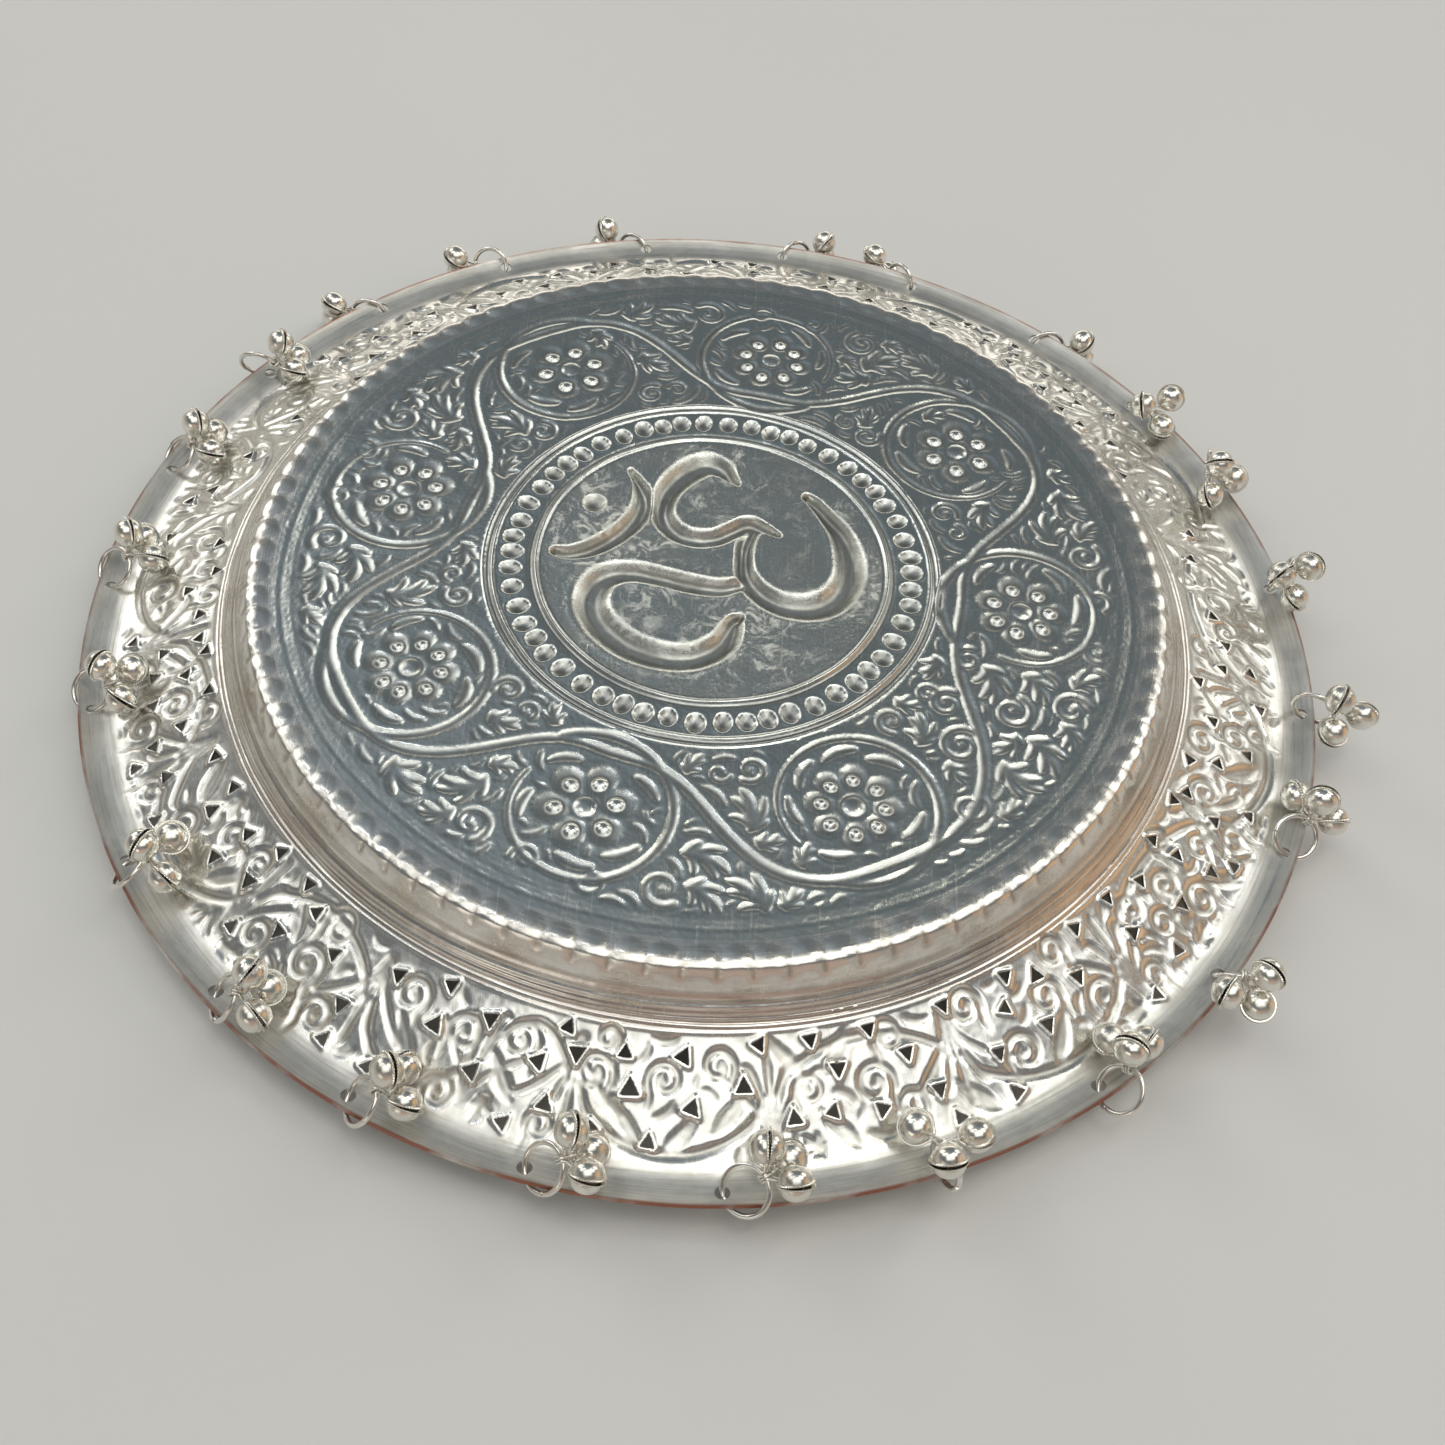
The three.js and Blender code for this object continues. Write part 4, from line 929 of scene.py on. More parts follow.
def closed_sheet(name, X, Y, quads):
    """A closed solid from plan points and the cells that are left: top, bottom and walls round every border."""
    quads = np.asarray(quads)
    used, inv = np.unique(quads, return_inverse=True)
    q = inv.reshape(quads.shape)
    x, y = X[used], Y[used]
    top, bot = sheet(x, y)
    n = len(used)
    e = np.concatenate([q[:, [0, 1]], q[:, [1, 2]], q[:, [2, 3]], q[:, [3, 0]]])
    key = e[:, 0] * n + e[:, 1]
    back = e[:, 1] * n + e[:, 0]
    border = e[~np.isin(key, back)]
    walls = np.stack([border[:, 1], border[:, 0], border[:, 0] + n, border[:, 1] + n], 1)
    allq = np.concatenate([q, q[:, ::-1] + n, walls])
    verts = np.concatenate([top, bot]) * MM
    ob = quads_mesh(name, verts, allq, sharp=58.0)
    cav = sample(CAV, x, y).astype(np.float32)
    at = ob.data.attributes.new("recess", "FLOAT", "POINT")
    if len(ob.data.vertices) == 2 * n:
        at.data.foreach_set("value", np.concatenate([cav, cav * 0.6]).astype(np.float32))
    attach(ob, "plate")
    return ob


Q = 1.0
plate_parts = []

# middle disc, on a square grid pressed into a circle
R_A = 41.4
n = int(220 / Q) // 2 * 2
g = np.linspace(-1, 1, n + 1)
A, B = np.meshgrid(g, g)
m = np.maximum(np.abs(A), np.abs(B))
ang = np.where(np.abs(A) >= np.abs(B),
               np.where(A >= 0, 0.0, math.pi) + (math.pi / 4) * np.divide(B, A, out=np.zeros_like(A), where=A != 0),
               np.where(B >= 0, math.pi / 2, -math.pi / 2) - (math.pi / 4) * np.divide(A, B, out=np.zeros_like(A), where=B != 0))
X = (m * R_A * np.cos(ang)).ravel()
Y = (m * R_A * np.sin(ang)).ravel()
ii, jj = np.meshgrid(np.arange(n), np.arange(n))
base = (jj * (n + 1) + ii).ravel()
quads = np.stack([base, base + 1, base + n + 2, base + n + 1], 1)
plate_parts.append(closed_sheet("base_emblem", X, Y, quads))


def ring_grid(r, cols):
    th = -math.pi / 4 + 2 * math.pi * np.arange(cols) / cols
    X = (r[:, None] * np.cos(th)).ravel()
    Y = (r[:, None] * np.sin(th)).ravel()
    i, j = np.meshgrid(np.arange(len(r) - 1), np.arange(cols), indexing="ij")
    a = i * cols + j
    b = i * cols + (j + 1) % cols
    quads = np.stack([a, a + cols, b + cols, b], -1)     # counterclockwise from above
    return X, Y, quads


def ring_parts(name, r0, r1, ds, cols, parts, snap=False):
    r = rows(r0, r1, ds * Q)
    cols = int(cols / Q) // parts * parts
    X, Y, quads = ring_grid(r, cols)
    nr = len(r)
    alive = np.ones((nr - 1, cols), bool)
    if snap:
        GX, GY = X.reshape(nr, cols), Y.reshape(nr, cols)
        cxm = (GX[:-1] + GX[1:]) / 2
        cym = (GY[:-1] + GY[1:]) / 2
        cxm = (cxm + np.roll(cxm, -1, 1)) / 2
        cym = (cym + np.roll(cym, -1, 1)) / 2
        moves = []
        shapes = [("t", t, t.mean(0), 4.0) for t in TRIS]
        shapes += [("c", h, np.array(h), RIM_HOLE_R + 1.5) for h in RIM_HOLES]
        for kind, shp, c, rad in shapes:
            ac = (math.atan2(c[1], c[0]) + math.pi / 4) % (2 * math.pi)
            rc = math.hypot(*c)
            j0 = int(ac / (2 * math.pi) * cols)
            dj = int(rad / rc / (2 * math.pi) * cols) + 3
            js = np.arange(j0 - dj, j0 + dj + 1) % cols
            isel = np.where(np.abs(r - rc) < rad + 1)[0]
            if len(isel) < 2:
                continue
            i0, i1 = isel[0], isel[-1]
            ci = np.arange(i0, i1)

            def dist(x, y):
                if kind == "t":
                    return tri_sd(shp, x, y)
                dx, dy = x - shp[0], y - shp[1]
                d = np.maximum(np.hypot(dx, dy), 1e-9)
                return d - RIM_HOLE_R, shp[0] + dx / d * RIM_HOLE_R, shp[1] + dy / d * RIM_HOLE_R

            sd, _, _ = dist(cxm[np.ix_(ci, js)], cym[np.ix_(ci, js)])
            gone = sd < 0
            sub = alive[np.ix_(ci, js)]
            sub[gone] = False
            alive[np.ix_(ci, js)] = sub
            # border vertices: touch both a gone and a kept cell
            gp = np.pad(gone, 1)
            cnt = gp[:-1, :-1].astype(int) + gp[1:, :-1] + gp[:-1, 1:] + gp[1:, 1:]
            bi, bj = np.where((cnt > 0) & (cnt < 4))
            keep = (bi < len(ci) + 1) & (bj < len(js))
            bi, bj = bi[keep], bj[keep]
            vi = i0 + bi
            vj = (js[0] + bj) % cols
            ok = vi < nr
            vi, vj = vi[ok], vj[ok]
            x, y = GX[vi, vj], GY[vi, vj]
            _, nx, ny = dist(x, y)
            if kind == "t":
                for corner in shp:
                    k = int(np.argmin(np.hypot(x - corner[0], y - corner[1])))
                    nx[k], ny[k] = corner
            GX[vi, vj] = nx
            GY[vi, vj] = ny
        X, Y = GX.ravel(), GY.ravel()
    out = []
    for p in range(parts):
        c0, c1 = p * cols // parts, (p + 1) * cols // parts
        q = quads[:, c0:c1][alive[:, c0:c1]]
        nm = name if parts == 1 else f"{name}_{p + 1}"
        out.append(closed_sheet(nm, X, Y, q))
    return out


plate_parts += ring_parts("base_bead_ring", R_A, 55.8, 0.27, 880, 1)
plate_parts += ring_parts("base_flowers", 55.8, 104.2, 0.355, 1376, 4)
corner_parts = ring_parts("scalloped_wall", 104.2, 119.0, 0.33, 1728, 3)
flange_parts = ring_parts("pierced_flange", 119.0, RIM - 0.05, 0.36, 2352, 6, snap=True)
plate_parts += corner_parts + flange_parts
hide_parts("plate")


# =============================================================================
# Wire rings and bells
# =============================================================================
def tube(path, radius, sides=12, closed=False, caps=True):
    """Verts, quads and cap fans of a round wire along a path, with carried frames."""
    p = np.asarray(path, float)
    n = len(p)
    tan = np.zeros_like(p)
    tan[1:-1] = p[2:] - p[:-2]
    tan[0] = p[1] - p[0] if not closed else p[1] - p[-1]
    tan[-1] = p[-1] - p[-2] if not closed else p[0] - p[-2]
    tan /= np.linalg.norm(tan, axis=1)[:, None]
    u = np.cross(tan[0], [0.31, 0.52, 0.79])
    u /= np.linalg.norm(u)
    verts, quads, tris = [], [], []
    rad = np.broadcast_to(np.asarray(radius, float), (n,))
    for i in range(n):
        u = u - tan[i] * (u @ tan[i])
        u /= np.linalg.norm(u)
        v = np.cross(tan[i], u)
        a = np.arange(sides) * 2 * math.pi / sides
        verts.append(p[i] + rad[i] * (np.cos(a)[:, None] * u + np.sin(a)[:, None] * v))
    verts = np.concatenate(verts)
    for i in range(n - 1):
        for k in range(sides):
            quads.append([i * sides + k, i * sides + (k + 1) % sides, (i + 1) * sides + (k + 1) % sides, (i + 1) * sides + k])
    c0, c1 = len(verts), len(verts) + 1
    verts = np.vstack([verts, p[0] - tan[0] * rad[0] * 0.25, p[-1] + tan[-1] * rad[-1] * 0.25])
    for k in range(sides):
        tris.append([c0, (k + 1) % sides, k])
        b = (n - 1) * sides
        tris.append([c1, b + k, b + (k + 1) % sides])
    return verts, np.array(quads), np.array(tris)


def lathe(profile, seg, closed_profile=True):
    """Profile (radius, height) swept about local z; a closed ring of cells."""
    prof = np.asarray(profile, float)
    m = len(prof)
    a = np.arange(seg) * 2 * math.pi / seg
    verts = np.stack([prof[:, None, 0] * np.cos(a), prof[:, None, 0] * np.sin(a),
                      np.broadcast_to(prof[:, None, 1], (m, seg))], -1).reshape(-1, 3)
    quads = []
    for i in range(m if closed_profile else m - 1):
        i2 = (i + 1) % m
        k = np.arange(seg)
        quads.append(np.stack([i * seg + k, i * seg + (k + 1) % seg, i2 * seg + (k + 1) % seg, i2 * seg + k], 1))
    return verts, np.concatenate(quads)


class Builder:
    def __init__(self):
        self.v, self.q, self.t, self.n = [], [], [], 0

    def add(self, verts, quads=None, tris=None):
        self.v.append(verts)
        if quads is not None and len(quads):
            self.q.append(np.asarray(quads) + self.n)
        if tris is not None and len(tris):
            self.t.append(np.asarray(tris) + self.n)
        self.n += len(verts)

    def make(self, name, sharp=45.0):
        v = np.concatenate(self.v) * MM
        q = np.concatenate(self.q) if self.q else np.zeros((0, 4), int)
        t = np.concatenate(self.t) if self.t else None
        return quads_mesh(name, v, q, t, sharp)


def unit(v):
    v = np.asarray(v, float)
    return v / np.linalg.norm(v)


RING_R, WIRE_R = 5.0, 0.5
EYE_R, EYE_WIRE = 1.25, 0.30
REACH = 6.5
DOME = 3.45
LIP = 4.0
ring_objs, shell_objs, eye_objs, pellet_objs = [], [], [], []


def half_shell(seed, teeth=44):
    """One pressed half of a jingle bell about local z: a domed cup with a milled lip, closed and hollow."""
    seg = teeth * 2
    prof = []
    # outside: crown to lip
    for t in np.linspace(0.04, 1.0, 10):
        a = t * math.pi / 2
        prof.append((DOME * math.sin(a) ** 0.92, 0.26 + (DOME - 0.32) * math.cos(a) ** 0.9 if t < 1 else 0.42))
    prof += [(DOME + 0.10, 0.33), (LIP - 0.12, 0.33), (LIP, 0.24), (LIP, 0.08), (LIP - 0.1, 0.02), (DOME - 0.30, 0.02)]
    for t in np.linspace(0.94, 0.04, 8):
        a = t * math.pi / 2
        prof.append(((DOME - 0.34) * math.sin(a) ** 0.95, 0.10 + (DOME - 0.62) * math.cos(a) ** 0.9))
    prof = np.array(prof)
    v, q = lathe(prof, seg, closed_profile=False)
    m = len(prof)
    # milling: every other column of the lip pulled in
    idx = np.arange(seg)
    for row in (11, 12, 13):
        sel = row * seg + idx[idx % 2 == 1]
        v[sel, :2] *= (LIP - 0.22) / LIP
    sel = 12 * seg + idx[idx % 2 == 1]
    v[sel, 2] -= 0.07
    # crown caps
    c0, c1 = len(v), len(v) + 1
    v = np.vstack([v, [[0, 0, prof[0][1] + 0.01]], [[0, 0, prof[-1][1] + 0.01]]])
    k = np.arange(seg)
    t0 = np.stack([np.full(seg, c0), (k + 1) % seg, k], 1)
    b = (m - 1) * seg
    t1 = np.stack([np.full(seg, c1), b + k, b + (k + 1) % seg], 1)
    return v, q[:, ::-1], np.concatenate([t0[:, ::-1], t1[:, ::-1]])


SHELL = half_shell(0)



def icosphere(r, sub=2):
    import bmesh
    bm = bmesh.new()
    bmesh.ops.create_icosphere(bm, subdivisions=sub, radius=r)
    v = np.array([x.co[:] for x in bm.verts])
    t = np.array([[x.index for x in f.verts] for f in bm.faces])
    bm.free()
    return v, t


BALL = icosphere(1.25, 2)

for i, (ang_, centre_, normal_, eye_, dirs_) in enumerate(HANG):
    nn = "%02d" % (i + 1)
    jr, jb = JOINTS[f"ring_{nn}_swing"], JOINTS[f"bells_{nn}_slide"]
    hole = np.array(jr["pos_m"]) / MM
    C = np.array(jb["pos_m"]) / MM
    Nn = unit(jr["axis"])
    a = math.radians(ang_)
    er, et, ez = np.array([math.cos(a), math.sin(a), 0]), np.array([-math.sin(a), math.cos(a), 0]), np.array([0, 0, 1.0])

    def world(p):
        return p[0] * er + p[1] * et + p[2] * ez

    rho = unit(world(eye_))
    tau = np.cross(Nn, rho)
    dirs = [unit(world(d)) for d in dirs_]
    # ---- jump ring, with its butt joint a third of the way round from the hole
    x0 = unit(hole - C)
    y0 = np.cross(Nn, x0)
    ea = math.atan2((rho @ y0), (rho @ x0))
    gap = ea + math.pi * (0.62 if i % 2 else -0.62)
    if abs(math.remainder(gap, 2 * math.pi)) < 0.9:
        gap += 0.9
    tt = np.linspace(0.022, 2 * math.pi - 0.022, 56)
    wob = 0.05 * np.sin(tt * 2 + i) + 0.03 * np.sin(tt * 3 + 2 * i)
    skew = 0.16 * ((tt - math.pi) / math.pi) ** 5
    path = C + (RING_R + wob * 0.6)[:, None] * (np.cos(tt + gap)[:, None] * x0 + np.sin(tt + gap)[:, None] * y0) + skew[:, None] * Nn
    v, q, t = tube(path, WIRE_R * 1.22, 16)
    bld = Builder()
    bld.add(v, q, t)
    ob = bld.make(f"jump_ring_wire_{nn}", sharp=60)
    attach(ob, f"ring_{nn}")
    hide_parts(f"jump_ring_{nn}")
    ring_objs.append(ob)

    # ---- three bells on it
    shells, eyes, pellets = Builder(), Builder(), Builder()
    E0 = C + RING_R * rho
    centres = [E0 + (k - 1) * 0.62 * tau + REACH * dirs[k] for k in range(3)]
    mid = sum(centres) / 3
    for k in range(3):
        D = dirs[k]
        E = E0 + (k - 1) * 0.62 * tau
        Bc = centres[k]
        # dome axis across the neck, turned towards the other bells so that the lips clear them
        w = mid - Bc
        w = w - D * (w @ D)
        if np.linalg.norm(w) < 0.3:
            w = np.cross(D, tau)
        ya = unit(w)
        roll = (0.5 * math.sin(12.9 * (3 * i + k) + 1.0))
        xa = np.cross(ya, D)
        ya = unit(ya * math.cos(roll) + xa * math.sin(roll))
        xa = np.cross(ya, D)
        for side in (1, -1):
            zz = ya * side
            open_ = math.radians(3.2)
            # the halves meet at the neck and stand apart at the mouth
            dz = unit(zz * math.cos(open_) - D * math.sin(open_))
            dx = unit(D * math.cos(open_) + zz * math.sin(open_))
            dy = np.cross(dz, dx)
            M = np.stack([dx, dy, dz], 1)
            hv, hq, ht = SHELL
            vv = hv @ M.T + Bc + zz * 0.10 - D * 0.0
            # pinch towards the neck
            along = (vv - Bc) @ D
            pull = np.clip((-along - 2.3) / 1.7, 0, 1)
            lat = (vv - Bc) - along[:, None] * D
            vv = vv - lat * (0.30 * pull ** 1.4)[:, None] - D * (0.35 * pull ** 2)[:, None]
            shells.add(vv, hq, ht)
        pv, pt = BALL
        pellets.add(pv + Bc + D * 1.2 + ya * 0.5, None, pt)
        # ---- wire eye: a loop round the ring whose ends go into the neck
        b = D - tau * (D @ tau)
        b = unit(b)
        c = np.cross(tau, b)
        loop = [E - b * EYE_R * math.cos(s) * -1 * -1 + c * EYE_R * math.sin(s) for s in np.linspace(-2.55, 2.55, 19)]
        neck = Bc - D * 2.9
        start = loop[0] * 0.45 + neck * 0.55 + c * -0.10
        end = loop[-1] * 0.45 + neck * 0.55 + c * 0.10
        pts = [neck + c * -0.32, start] + loop + [end, neck + c * 0.32]
        pts = np.array(pts)
        # smooth the wire
        d = np.concatenate([[0], np.cumsum(np.linalg.norm(np.diff(pts, axis=0), axis=1))])
        ts = np.linspace(0, d[-1], 44)
        pts = np.stack([np.interp(ts, d, pts[:, m_]) for m_ in range(3)], 1)
        for _ in range(2):
            pts[1:-1] = 0.25 * pts[:-2] + 0.5 * pts[1:-1] + 0.25 * pts[2:]
        v, q, t = tube(pts, EYE_WIRE, 9)
        eyes.add(v, q, t)
    o1 = shells.make(f"bell_shells_{nn}", sharp=40)
    o2 = eyes.make(f"bell_eyes_{nn}", sharp=60)
    o3 = pellets.make(f"bell_pellets_{nn}", sharp=80)
    for o in (o1, o2, o3):
        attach(o, f"bells_{nn}")
    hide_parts(f"bell_cluster_{nn}")
    shell_objs.append(o1)
    eye_objs.append(o2)
    pellet_objs.append(o3)


# =============================================================================
# Materials
# =============================================================================
class Nodes:
    def __init__(self, name):
        self.mat = bpy.data.materials.new(name)
        self.mat.use_nodes = True
        self.t = self.mat.node_tree
        self.t.nodes.clear()
        self.coord = self.add("ShaderNodeTexCoord")

    def add(self, kind, **kw):
        n = self.t.nodes.new(kind)
        for k, v in kw.items():
            setattr(n, k, v)
        return n

    def link(self, a, b):
        self.t.links.new(a, b)

    def put(self, sock, val):
        if hasattr(val, "links"):
            self.link(val, sock)
        else:
            sock.default_value = val

    def mapping(self, scale, rot=(0, 0, 0), loc=(0, 0, 0)):
        m = self.add("ShaderNodeMapping")
        self.link(self.coord.outputs["Object"], m.inputs["Vector"])
        m.inputs["Scale"].default_value = scale
        m.inputs["Rotation"].default_value = rot
        m.inputs["Location"].default_value = loc
        return m.outputs["Vector"]

    def noise(self, scale, detail=3, rough=0.55, vec=None, dist=0.0):
        n = self.add("ShaderNodeTexNoise")
        n.inputs["Scale"].default_value = scale
        n.inputs["Detail"].default_value = detail
        n.inputs["Roughness"].default_value = rough
        n.inputs["Distortion"].default_value = dist
        self.link(vec if vec is not None else self.coord.outputs["Object"], n.inputs["Vector"])
        return n.outputs["Fac"]

    def ramp(self, val, a, b, lo=0.0, hi=1.0):
        n = self.add("ShaderNodeMapRange")
        n.inputs["From Min"].default_value = a
        n.inputs["From Max"].default_value = b
        n.inputs["To Min"].default_value = lo
        n.inputs["To Max"].default_value = hi
        n.clamp = True
        self.link(val, n.inputs["Value"])
        return n.outputs["Result"]

    def math(self, op, a, b=0.0):
        n = self.add("ShaderNodeMath", operation=op)
        self.put(n.inputs[0], a)
        self.put(n.inputs[1], b)
        return n.outputs[0]

    def mix(self, f, a, b):
        n = self.add("ShaderNodeMix", data_type="RGBA")
        self.put(n.inputs["Factor"], f)
        self.put(n.inputs[6], a if hasattr(a, "links") else (*a, 1))
        self.put(n.inputs[7], b if hasattr(b, "links") else (*b, 1))
        return n.outputs[2]

    def bump(self, height, strength, distance, normal=None):
        n = self.add("ShaderNodeBump")
        n.inputs["Strength"].default_value = strength
        n.inputs["Distance"].default_value = distance
        self.link(height, n.inputs["Height"])
        if normal is not None:
            self.link(normal, n.inputs["Normal"])
        return n.outputs["Normal"]

    def finish(self, color, rough, normal=None, metallic=1.0, aniso=0.0):
        b = self.add("ShaderNodeBsdfPrincipled")
        o = self.add("ShaderNodeOutputMaterial")
        self.put(b.inputs["Base Color"], color if hasattr(color, "links") else (*color, 1))
        self.put(b.inputs["Roughness"], rough)
        b.inputs["Metallic"].default_value = metallic
        if aniso:
            b.inputs["Anisotropic"].default_value = aniso
        if normal is not None:
            self.link(normal, b.inputs["Normal"])
        self.link(b.outputs[0], o.inputs[0])
        return self.mat


def silver(name, light, dark, r_lo, r_hi, tarnish=0.6, recess=True, scratch=0.5, blotch=90, stain=(0.20, 0.185, 0.155), fine=0.15,
           brushed_and_painted_reflection=False, band=False, mottle=False):
    k = Nodes(name)
    big = k.noise(blotch, 4, 0.6, dist=0.6)
    small = k.noise(900, 3, 0.6)
    color = k.mix(k.ramp(big, 0.35, 0.7), light, dark)
    haze = k.ramp(k.noise(38, 5, 0.65, dist=1.2), 0.42, 0.72)
    color = k.mix(k.math("MULTIPLY", haze, 0.35), color, tuple(0.82 * c for c in dark))
    rough = k.ramp(big, 0.3, 0.75, r_lo, r_hi)
    rough = k.math("ADD", rough, k.ramp(small, 0.35, 0.75, 0.0, 0.05))
    rough = k.math("ADD", rough, k.math("MULTIPLY", haze, 0.06))
    if recess:
        at = k.add("ShaderNodeAttribute", attribute_name="recess")
        low = k.ramp(at.outputs["Fac"], 0.05, 0.9)
        low = k.math("MULTIPLY", low, k.ramp(k.noise(160, 3), 0.3, 0.65, 0.45, 1.0))
    else:
        geo = k.add("ShaderNodeNewGeometry")
        low = k.ramp(geo.outputs["Pointiness"], 0.495, 0.40)
    color = k.mix(k.math("MULTIPLY", low, tarnish), color, stain)
    rough = k.math("ADD", rough, k.math("MULTIPLY", low, 0.16))
    # scratches run every way from handling and wiping
    lines = None
    for i, (rot, sc) in enumerate(((0.35, 1500), (1.25, 1900), (2.2, 1300))):
        vec = k.mapping((sc, sc * 0.035, sc * 0.2), (0, 0, rot), (0.1 * i, 0.2 * i, 0))
        nz = k.noise(1.0, 2, 0.5, vec)
        ln = k.ramp(nz, 0.64, 0.74)
        lines = ln if lines is None else k.math("MAXIMUM", lines, ln)
    rough = k.math("ADD", rough, k.math("MULTIPLY", lines, 0.12 * scratch))
    color = k.mix(k.math("MULTIPLY", lines, 0.10 * scratch), color, (0.98, 0.97, 0.95))
    nrm = k.bump(small, fine, 0.00006)
    nrm = k.bump(lines, 0.22 * scratch, 0.00003, nrm)
    if brushed_and_painted_reflection:
        # turned finish: fine lines that follow the rim; then a painted reflection on the front of the wall
        sep = k.add("ShaderNodeSeparateXYZ")
        k.link(k.coord.outputs["Object"], sep.inputs[0])
        rad = k.math("SQRT", k.math("ADD", k.math("MULTIPLY", sep.outputs[0], sep.outputs[0]),
                                    k.math("MULTIPLY", sep.outputs[1], sep.outputs[1])))
        comb = k.add("ShaderNodeCombineXYZ")
        k.link(k.math("MULTIPLY", rad, 3200.0), comb.inputs[0])
        k.link(k.math("MULTIPLY", k.math("ARCTAN2", sep.outputs[1], sep.outputs[0]), 3.0), comb.inputs[1])
        tn = k.noise(1.0, 3, 0.6, comb.outputs[0])
        nrm = k.bump(tn, 0.22, 0.00006, nrm)
        rough = k.math("ADD", rough, k.ramp(tn, 0.3, 0.7, -0.03, 0.06))
        # painted reflection: pinkish-brown and near-black streaks, strongest on the front of the wall nearest the
        # camera, paint in the brownish surroundings mirrored there
        comb2 = k.add("ShaderNodeCombineXYZ")
        k.link(k.math("MULTIPLY", rad, 900.0), comb2.inputs[0])
        k.link(k.math("MULTIPLY", k.math("ARCTAN2", sep.outputs[1], sep.outputs[0]), 5.0), comb2.inputs[1])
        painted_reflection_streak = k.noise(1.0, 4, 0.65, comb2.outputs[0], 0.5)
        front_wall_painted_reflection = k.math("MULTIPLY", k.ramp(rad, 0.1105, 0.1150), k.ramp(sep.outputs[1], 0.01, -0.085, 0.22, 1.0))
        color = k.mix(k.math("MULTIPLY", k.ramp(painted_reflection_streak, 0.42, 0.68, 0.0, 0.62), front_wall_painted_reflection), color, (0.46, 0.34, 0.29))
        color = k.mix(k.math("MULTIPLY", k.ramp(painted_reflection_streak, 0.60, 0.74, 0.0, 0.55), front_wall_painted_reflection), color, (0.13, 0.11, 0.10))
    if band:
        # the plain band outside the ornament is dull and specked
        sp = k.add("ShaderNodeSeparateXYZ")
        k.link(k.coord.outputs["Object"], sp.inputs[0])
        rd = k.math("SQRT", k.math("ADD", k.math("MULTIPLY", sp.outputs[0], sp.outputs[0]),
                                   k.math("MULTIPLY", sp.outputs[1], sp.outputs[1])))
        zone = k.ramp(rd, 0.1438, 0.1458)
        rough = k.math("ADD", rough, k.math("MULTIPLY", zone, 0.24))
        speck = k.math("MULTIPLY", k.ramp(k.noise(420, 4, 0.7, dist=0.8), 0.60, 0.70), zone)
        color = k.mix(k.math("MULTIPLY", speck, 0.35), color, (0.42, 0.41, 0.38))
        dull = k.math("MULTIPLY", k.ramp(k.noise(55, 4, 0.6, dist=0.9), 0.36, 0.62, 0.35, 1.0), zone)
        color = k.mix(k.math("MULTIPLY", dull, 0.66), color, (0.47, 0.465, 0.44))
        turn = k.add("ShaderNodeCombineXYZ")
        k.link(k.math("MULTIPLY", rd, 1500.0), turn.inputs[0])
        k.link(k.math("MULTIPLY", k.math("ARCTAN2", sp.outputs[1], sp.outputs[0]), 5.0), turn.inputs[1])
        wiped = k.noise(1.0, 4, 0.65, turn.outputs[0], 0.4)
        color = k.mix(k.math("MULTIPLY", k.ramp(wiped, 0.45, 0.66, 0.0, 0.5), zone), color, (0.34, 0.335, 0.315))
        rough = k.math("ADD", rough, k.math("MULTIPLY", k.ramp(wiped, 0.35, 0.6, -0.12, 0.05), zone))
        edge = k.ramp(rd, 0.1517, 0.1523)
        color = k.mix(k.math("MULTIPLY", edge, k.ramp(k.noise(70, 3), 0.38, 0.56, 0.15, 0.92)), color, (0.34, 0.13, 0.08))
    if mottle:
        # punched ground: a pale, matt bloom that comes and goes
        bloom = k.ramp(k.noise(150, 7, 0.78, dist=1.6), 0.50, 0.60)
        bloom = k.math("MULTIPLY", bloom, k.ramp(k.noise(34, 3, 0.5, dist=0.8), 0.42, 0.58))
        bloom = k.math("MULTIPLY", bloom, k.ramp(at.outputs["Fac"], 0.35, 0.05))
        color = k.mix(k.math("MULTIPLY", bloom, 0.7), color, (0.92, 0.93, 0.88))
        rough = k.math("ADD", rough, k.math("MULTIPLY", bloom, 0.36))
        nrm = k.bump(k.noise(1500, 5, 0.75), 0.5, 0.00012, nrm)
    return k.finish(color, rough, nrm)


M_BASE = silver("silver_base", (0.71, 0.73, 0.70), (0.56, 0.58, 0.56), 0.15, 0.25, 0.72, True, 0.5, 60, (0.15, 0.15, 0.145), 0.2)
M_EMBLEM = silver("silver_emblem", (0.80, 0.81, 0.76), (0.60, 0.61, 0.575), 0.16, 0.30, 0.75, True, 0.6, 80, (0.13, 0.13, 0.12), 0.2, mottle=True)
# the wall material also carries a painted reflection of brownish surroundings on its front side
M_WALL = silver("silver_wall", (0.88, 0.86, 0.82), (0.74, 0.71, 0.66), 0.13, 0.24, 0.6, True, 0.5, 60, (0.24, 0.20, 0.16), 0.12, brushed_and_painted_reflection=True)
M_FLANGE = silver("silver_flange", (0.90, 0.89, 0.855), (0.78, 0.765, 0.72), 0.17, 0.27, 0.58, True, 0.45, 70, (0.20, 0.185, 0.15), 0.12, band=True)
M_WIRE = silver("silver_wire", (0.90, 0.88, 0.84), (0.78, 0.75, 0.70), 0.10, 0.20, 0.5, False, 0.4, 200)
M_BELL = silver("silver_bell", (0.92, 0.90, 0.84), (0.78, 0.75, 0.68), 0.14, 0.26, 0.75, False, 0.4, 260)
M_PELLET = silver("iron_pellet", (0.42, 0.40, 0.38), (0.24, 0.22, 0.20), 0.3, 0.5, 0.6, False, 0.3, 500)

